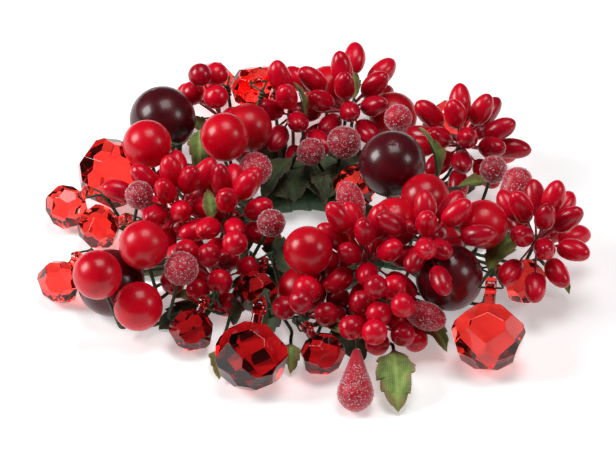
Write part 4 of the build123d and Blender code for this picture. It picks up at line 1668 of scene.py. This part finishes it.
@dataclass
class Drop:
    """A moulded faceted ball with its lug, in its own axes: the eye runs along X, the lug up Z."""

    diameter: float

    def ball(self) -> tuple[Points, list[list[int]]]:
        """Corners and faces of the ball that is left when every facet's plane has cut a block.

        A corner is where three planes meet inside all the others, and a facet's corners
        are put in order by their angle round its middle.

        Returns:
            The corners, and the corner numbers of each facet.
        """
        touch = self.diameter / 2 * FACET_SHARE
        ways = []
        for tier, rise in enumerate(DROP_TIERS):
            count = 1 if abs(rise) == 90 else DROP_SIDES
            ways += [aim(360 / count * (step + 0.5 * (tier % 2)), rise) for step in range(count)]
        ways = np.array(ways)
        triples = np.array(list(combinations(range(len(ways)), 3)))
        square = np.abs(np.linalg.det(ways[triples])) > 1e-6
        triples = triples[square]
        corners = np.linalg.solve(ways[triples], np.full((len(triples), 3, 1), touch))[..., 0]
        corners = corners[(corners @ ways.T <= touch + 1e-6).all(axis=1)]
        corners = np.unique(corners.round(5), axis=0)
        faces = []
        for way in ways:
            on = np.flatnonzero(np.abs(corners @ way - touch) < 1e-3)
            stand = Stand.along(way * touch, way)
            flat = (corners[on] - stand.middle) @ stand.axes.T
            faces.append(on[np.argsort(np.arctan2(flat[:, 1], flat[:, 0]))].tolist())
        return corners, faces

    def ring(self) -> Skin:
        """The lug's ring round the eye: a rounded square section carried round X.

        Returns:
            The surface, in the drop's own axes.
        """
        outer, inner = self.diameter * LUG_RADIUS_SHARE, self.diameter * EYE_RADIUS_SHARE
        middle, depth = (outer + inner) / 2, (outer - inner) / 2
        half = self.diameter * LUG_WIDTH_SHARE / 2
        angles = np.linspace(0, FULL_TURN, 20, endpoint=False)
        section_r = middle + depth * squared(np.cos(angles), 0.55)
        section_x = half * squared(np.sin(angles), 0.55)
        turns = np.linspace(0, FULL_TURN, 36, endpoint=False)[:, None]
        rings = np.stack([section_x + 0 * turns, section_r * np.cos(turns), section_r * np.sin(turns)],
                         axis=-1)
        points = rings[:, ::-1].reshape(-1, 3) + [0, 0, self.diameter * LUG_REACH_SHARE]
        return Skin(points, [lattice(36, 20, loop_rows=True)], points)

    def root(self) -> Skin:
        """The lug's root: a rounded bar that spreads from under the eye into the ball.

        Returns:
            The surface, in the drop's own axes.
        """
        outer = self.diameter * LUG_RADIUS_SHARE
        eye = self.diameter * EYE_RADIUS_SHARE
        top = self.diameter * LUG_REACH_SHARE - eye * 1.25
        low = self.diameter / 2 * FACET_SHARE * 0.55
        heights = np.linspace(low, top, 9)
        spread = 1 + 0.35 * np.linspace(1, 0, 9)[:, None] ** 2
        angles = np.linspace(0, FULL_TURN, 24, endpoint=False)
        wide = outer * 0.80 * squared(np.sin(angles), 0.6)
        deep = self.diameter * LUG_WIDTH_SHARE / 2 * 0.96 * squared(np.cos(angles), 0.6)
        rings = np.stack([deep * spread, wide * spread, heights[:, None] + 0 * angles], axis=-1)
        return closed_rings(rings, np.array([0, 0, low]), np.array([0, 0, top]))

    def mesh(self) -> bpy.types.Mesh:
        """The whole drop in one piece, its facet edges taken off by a narrow bevel.

        Returns:
            A closed mesh, in mm.
        """
        corners, faces = self.ball()
        form = bmesh.new()
        made = [form.verts.new(corner) for corner in corners]
        for face in faces:
            form.faces.new([made[k] for k in face])
        bmesh.ops.bevel(form, geom=list(form.edges), offset=self.diameter * EDGE_SHARE, segments=2,
                        profile=0.5, affect="EDGES")
        mesh = bpy.data.meshes.new("drop_form")
        form.to_mesh(mesh)
        form.free()
        ball = add_object("drop_form", mesh)
        tools = [gather("drop_lug", [self.ring()]), gather("drop_root", [self.root()])]
        for tool in tools:
            tool.data.transform(((1 / MM, 0, 0, 0), (0, 1 / MM, 0, 0), (0, 0, 1 / MM, 0), (0, 0, 0, 1)))
            join = ball.modifiers.new("join", "BOOLEAN")
            join.operation, join.solver, join.object = "UNION", "EXACT", tool
        bpy.context.view_layer.update()
        whole = bpy.data.meshes.new_from_object(ball.evaluated_get(bpy.context.evaluated_depsgraph_get()))
        for spare in (ball, *tools):
            bpy.data.objects.remove(spare)
        return whole


def mesh_arrays(mesh: bpy.types.Mesh) -> tuple[Points, list[list[int]]]:
    """A mesh's corners and faces."""
    points = np.empty(len(mesh.vertices) * 3)
    mesh.vertices.foreach_get("co", points)
    return points.reshape(-1, 3), [list(face.vertices) for face in mesh.polygons]


def make_drops(picks: dict[str, Pick]) -> None:
    """Makes each drop on its own body, with its bail and stem added to its pick.

    Args:
        picks: every pick by its number.
    """
    forms = {size: mesh_arrays(Drop(diameter).mesh()) for size, diameter in DROP_SIZES.items()}
    for name, pick, size, shares, (eye_turn, eye_rise), knees in DROP_ROWS:
        diameter = DROP_SIZES[size]
        centre = place(shares)
        lug_way = aim(eye_turn, eye_rise)
        pin_way = aim(eye_turn + QUARTER, 0)
        stand = Stand.along(centre, lug_way, pin_way)
        points, faces = forms[size]
        mesh = bpy.data.meshes.new(f"acrylic_drop_{name}")
        mesh.from_pydata((stand.carry(points) * MM).tolist(), [], faces)
        mesh.update()
        piece = add_object(mesh.name, mesh)
        finish = WINE_ACRYLIC if name in WINE_DROPS else ACRYLIC
        fit_out(piece, finish, f"drop_{name}", [f"drop_{name}"])
        eye = centre + lug_way * diameter * LUG_REACH_SHARE
        depth = diameter * BAIL_DEPTH_SHARE
        beside = diameter * LUG_WIDTH_SHARE / 2 + BAIL_CLEARANCE + BAIL_RADIUS
        half_pin = beside / (1 - diameter * LUG_RADIUS_SHARE / depth)
        meet = eye + aim(eye_turn, 0) * depth
        pin = np.stack([eye - pin_way * half_pin, eye + pin_way * half_pin])
        picks[pick].bail(np.vstack([meet, pin, meet]))
        corners = route(pick, meet, knees)
        picks[pick].stem(corners)
        picks[pick].twist(meet, corners[-2] - corners[-1])


# Hoop


@dataclass
class HoopTape:
    """Crepe tape wound round the hoop in one long screw, each lap over the last."""

    laps: int = 22
    radius: float = 3.12
    step: float = 0.46
    foot: float = 0.03
    columns: int = 56
    fine: tuple[float, ...] = (0.0, 0.02, 0.05, 0.1, 0.18, 0.28, 0.4, 0.52, 0.64, 0.76, 0.87, 0.95, 0.985)

    def skin(self) -> Skin:
        """The wound band: round the hoop a(q, p) = (q - p)/laps turns, with q laps and p the
        share of a turn round the band, so that a lap's edge is a line of the grid.

        The radius is radius + step (1 - f) with f the fraction of a lap, plus folds that run
        with the tape, and the underside is pressed flat on the table.

        Returns:
            The surface, in mm.
        """
        marks = np.array(self.fine)
        q = (np.arange(self.laps)[:, None] + marks[None]).ravel()[:, None]
        p = (np.arange(self.columns) / self.columns)[None, :]
        around = FULL_TURN * (q - p) / self.laps
        section = FULL_TURN * p
        passed = np.mod(q, 1.0) + 0 * p
        flat = np.stack([np.cos(around) * 40, np.sin(around) * 40, 9 * np.cos(section) + 0 * q], axis=-1)
        folds = 0.16 * ripple(flat.reshape(-1, 3), 9.0, 11).reshape(passed.shape)
        creases = 0.07 * ripple(flat.reshape(-1, 3), 3.1, 12, 9).reshape(passed.shape)
        radius = self.radius + self.step * (1 - passed) + folds + creases
        reach = HOOP_REACH + radius * np.cos(section)
        height = np.maximum(HOOP_RISE + radius * np.sin(section), self.foot)
        rings = np.stack([reach * np.cos(around), reach * np.sin(around), height], axis=-1)
        pattern = np.stack([np.cos(around) * HOOP_REACH * 3, np.sin(around) * HOOP_REACH * 3,
                            height * 0.8], axis=-1)
        faces = lattice(len(q), self.columns, loop_rows=True, shift=len(marks))
        return Skin(rings.reshape(-1, 3), [faces[:, ::-1]], pattern.reshape(-1, 3))


def make_hoop() -> None:
    """Makes the wound tape and gives the wire inside it its steel finish."""
    fit_out(gather("wound_hoop_tape", [HoopTape().skin()]), TAPE, RING_BODY, ["tape_wrap"])
    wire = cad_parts["hoop_wire"]
    wire.data.materials.clear()
    wire.data.materials.append(STEEL.material())


# Studio


@dataclass(frozen=True)
class Lamp:
    """A square softbox that faces the ring."""

    name: str
    way: tuple[float, float, float]
    distance: float
    side: float
    watts: float

    def hang(self) -> None:
        """Adds the softbox."""
        light = bpy.data.lights.new(self.name, "AREA")
        light.shape, light.size, light.energy = "SQUARE", self.side, self.watts
        lamp = add_object(self.name, light)
        direction = Vector(self.way).normalized()
        lamp.location = direction * self.distance
        lamp.rotation_euler = direction.to_track_quat("Z", "Y").to_euler()


LAMPS = (
    Lamp("softbox_left", (-0.82, -0.03, 0.57), 0.9, 0.40, 7.2),
    Lamp("softbox_above", (0.11, 0.04, 0.99), 0.9, 0.46, 4.0),
    Lamp("softbox_right", (0.80, -0.25, 0.54), 1.0, 0.30, 2.0),
)


@dataclass(frozen=True)
class TableFinish(Finish):
    """White acrylic sheet, lit from within a little, as a product table is."""

    def dress(self, tree: Tree, shader: Node, out: Node) -> None:
        """Matt white with a barely uneven surface."""
        cloud = noise(tree, object_place(tree), 6.0, 2.0)
        feed(shader, {
            "Base Color": ramp(tree, cloud, (0.3, "#F4F4F4"), (0.7, "#F7F7F7")),
            "Roughness": 0.6, "Emission Color": colour("#FFFFFF"), "Emission Strength": 0.34})


@dataclass(frozen=True)
class Studio:
    """The table, the lights and the camera."""

    mm_per_pixel: float = 0.29
    image: tuple[int, int] = (616, 452)
    middle_pixel: tuple[float, float] = (308.0, 250.0)
    elevation: float = 36.0
    distance: float = 3.0
    far: float = 20.0
    sensor: float = 36.0
    sky: float = 0.06
    table_half: float = 1.2
    table_points: int = 25
    table_gap: float = 0.00002

    def table(self) -> None:
        """Lays the pale table that the ring stands on."""
        count = self.table_points
        edge = np.linspace(-self.table_half, self.table_half, count)
        x, y = np.meshgrid(edge, edge, indexing="ij")
        z = np.full_like(x, -self.table_gap)
        i, j = (a.ravel() for a in np.meshgrid(np.arange(count - 1), np.arange(count - 1), indexing="ij"))
        low = i * count + j
        faces = np.stack([low, low + count, low + count + 1, low + 1], axis=1)
        mesh = bpy.data.meshes.new("table")
        mesh.from_pydata(np.stack([x, y, z], axis=-1).reshape(-1, 3).tolist(), [], faces.tolist())
        mesh.materials.append(TableFinish("matt_white_table").material())
        table = add_object("table", mesh)

    def lights(self) -> None:
        """Hangs the softboxes and sets a dim even room."""
        for lamp in LAMPS:
            lamp.hang()
        world = bpy.data.worlds.new("room")
        world.use_nodes = True
        background = world.node_tree.nodes["Background"]
        background.inputs["Color"].default_value = colour("#F2F4F8")
        background.inputs["Strength"].default_value = self.sky
        bpy.context.scene.world = world
        bpy.context.scene.view_settings.view_transform = "Standard"

    def camera(self) -> None:
        """Sets the camera so that the hoop's middle falls on its pixel at the photograph's scale."""
        data = bpy.data.cameras.new("camera")
        data.sensor_fit = "HORIZONTAL"
        data.sensor_width = self.sensor
        span = self.image[0] * self.mm_per_pixel * MM
        data.lens = data.sensor_width * self.distance / span
        camera = add_object("camera", data)
        lift = math.radians(self.elevation)
        towards = Vector((0, -math.cos(lift), math.sin(lift)))
        up = Vector((0, math.sin(lift), math.cos(lift)))
        right = Vector((1, 0, 0))
        scale = self.mm_per_pixel * MM
        target = up * (self.middle_pixel[1] - self.image[1] / 2) * scale \
            - right * (self.middle_pixel[0] - self.image[0] / 2) * scale
        camera.location = target + towards * self.distance
        camera.rotation_euler = towards.to_track_quat("Z", "Y").to_euler()
        data.clip_end = self.far
        bpy.context.scene.camera = camera


def main() -> None:
    """Builds the studio and the ring."""
    logging.basicConfig(level=logging.INFO, format="%(name)s: %(message)s")
    studio = Studio()
    studio.camera()
    studio.lights()
    studio.table()
    picks = {name: Pick(name) for name in TRUNK_TURNS}
    for pick in picks.values():
        pick.trunk()
    beads = Beads()
    kinds = {kind.value[0]: kind for kind in Kind}
    for number, (name, side, pick, shares, knees) in enumerate(BEAD_ROWS):
        kind = kinds[name]
        corners = route(pick, place(shares), knees)
        stop = kind.length - kind.diameter / 2 - NECK_HOLD if kind.stemmed else 0.0
        picks[pick].stem(corners, stop)
        beads.add(kind, side, corners, BEAD_SEED + number)
    beads.pieces()
    make_sprays(picks)
    make_leaves(picks)
    make_drops(picks)
    for pick in picks.values():
        pick.pieces()
    make_hoop()


if __name__ == "__main__":
    main()
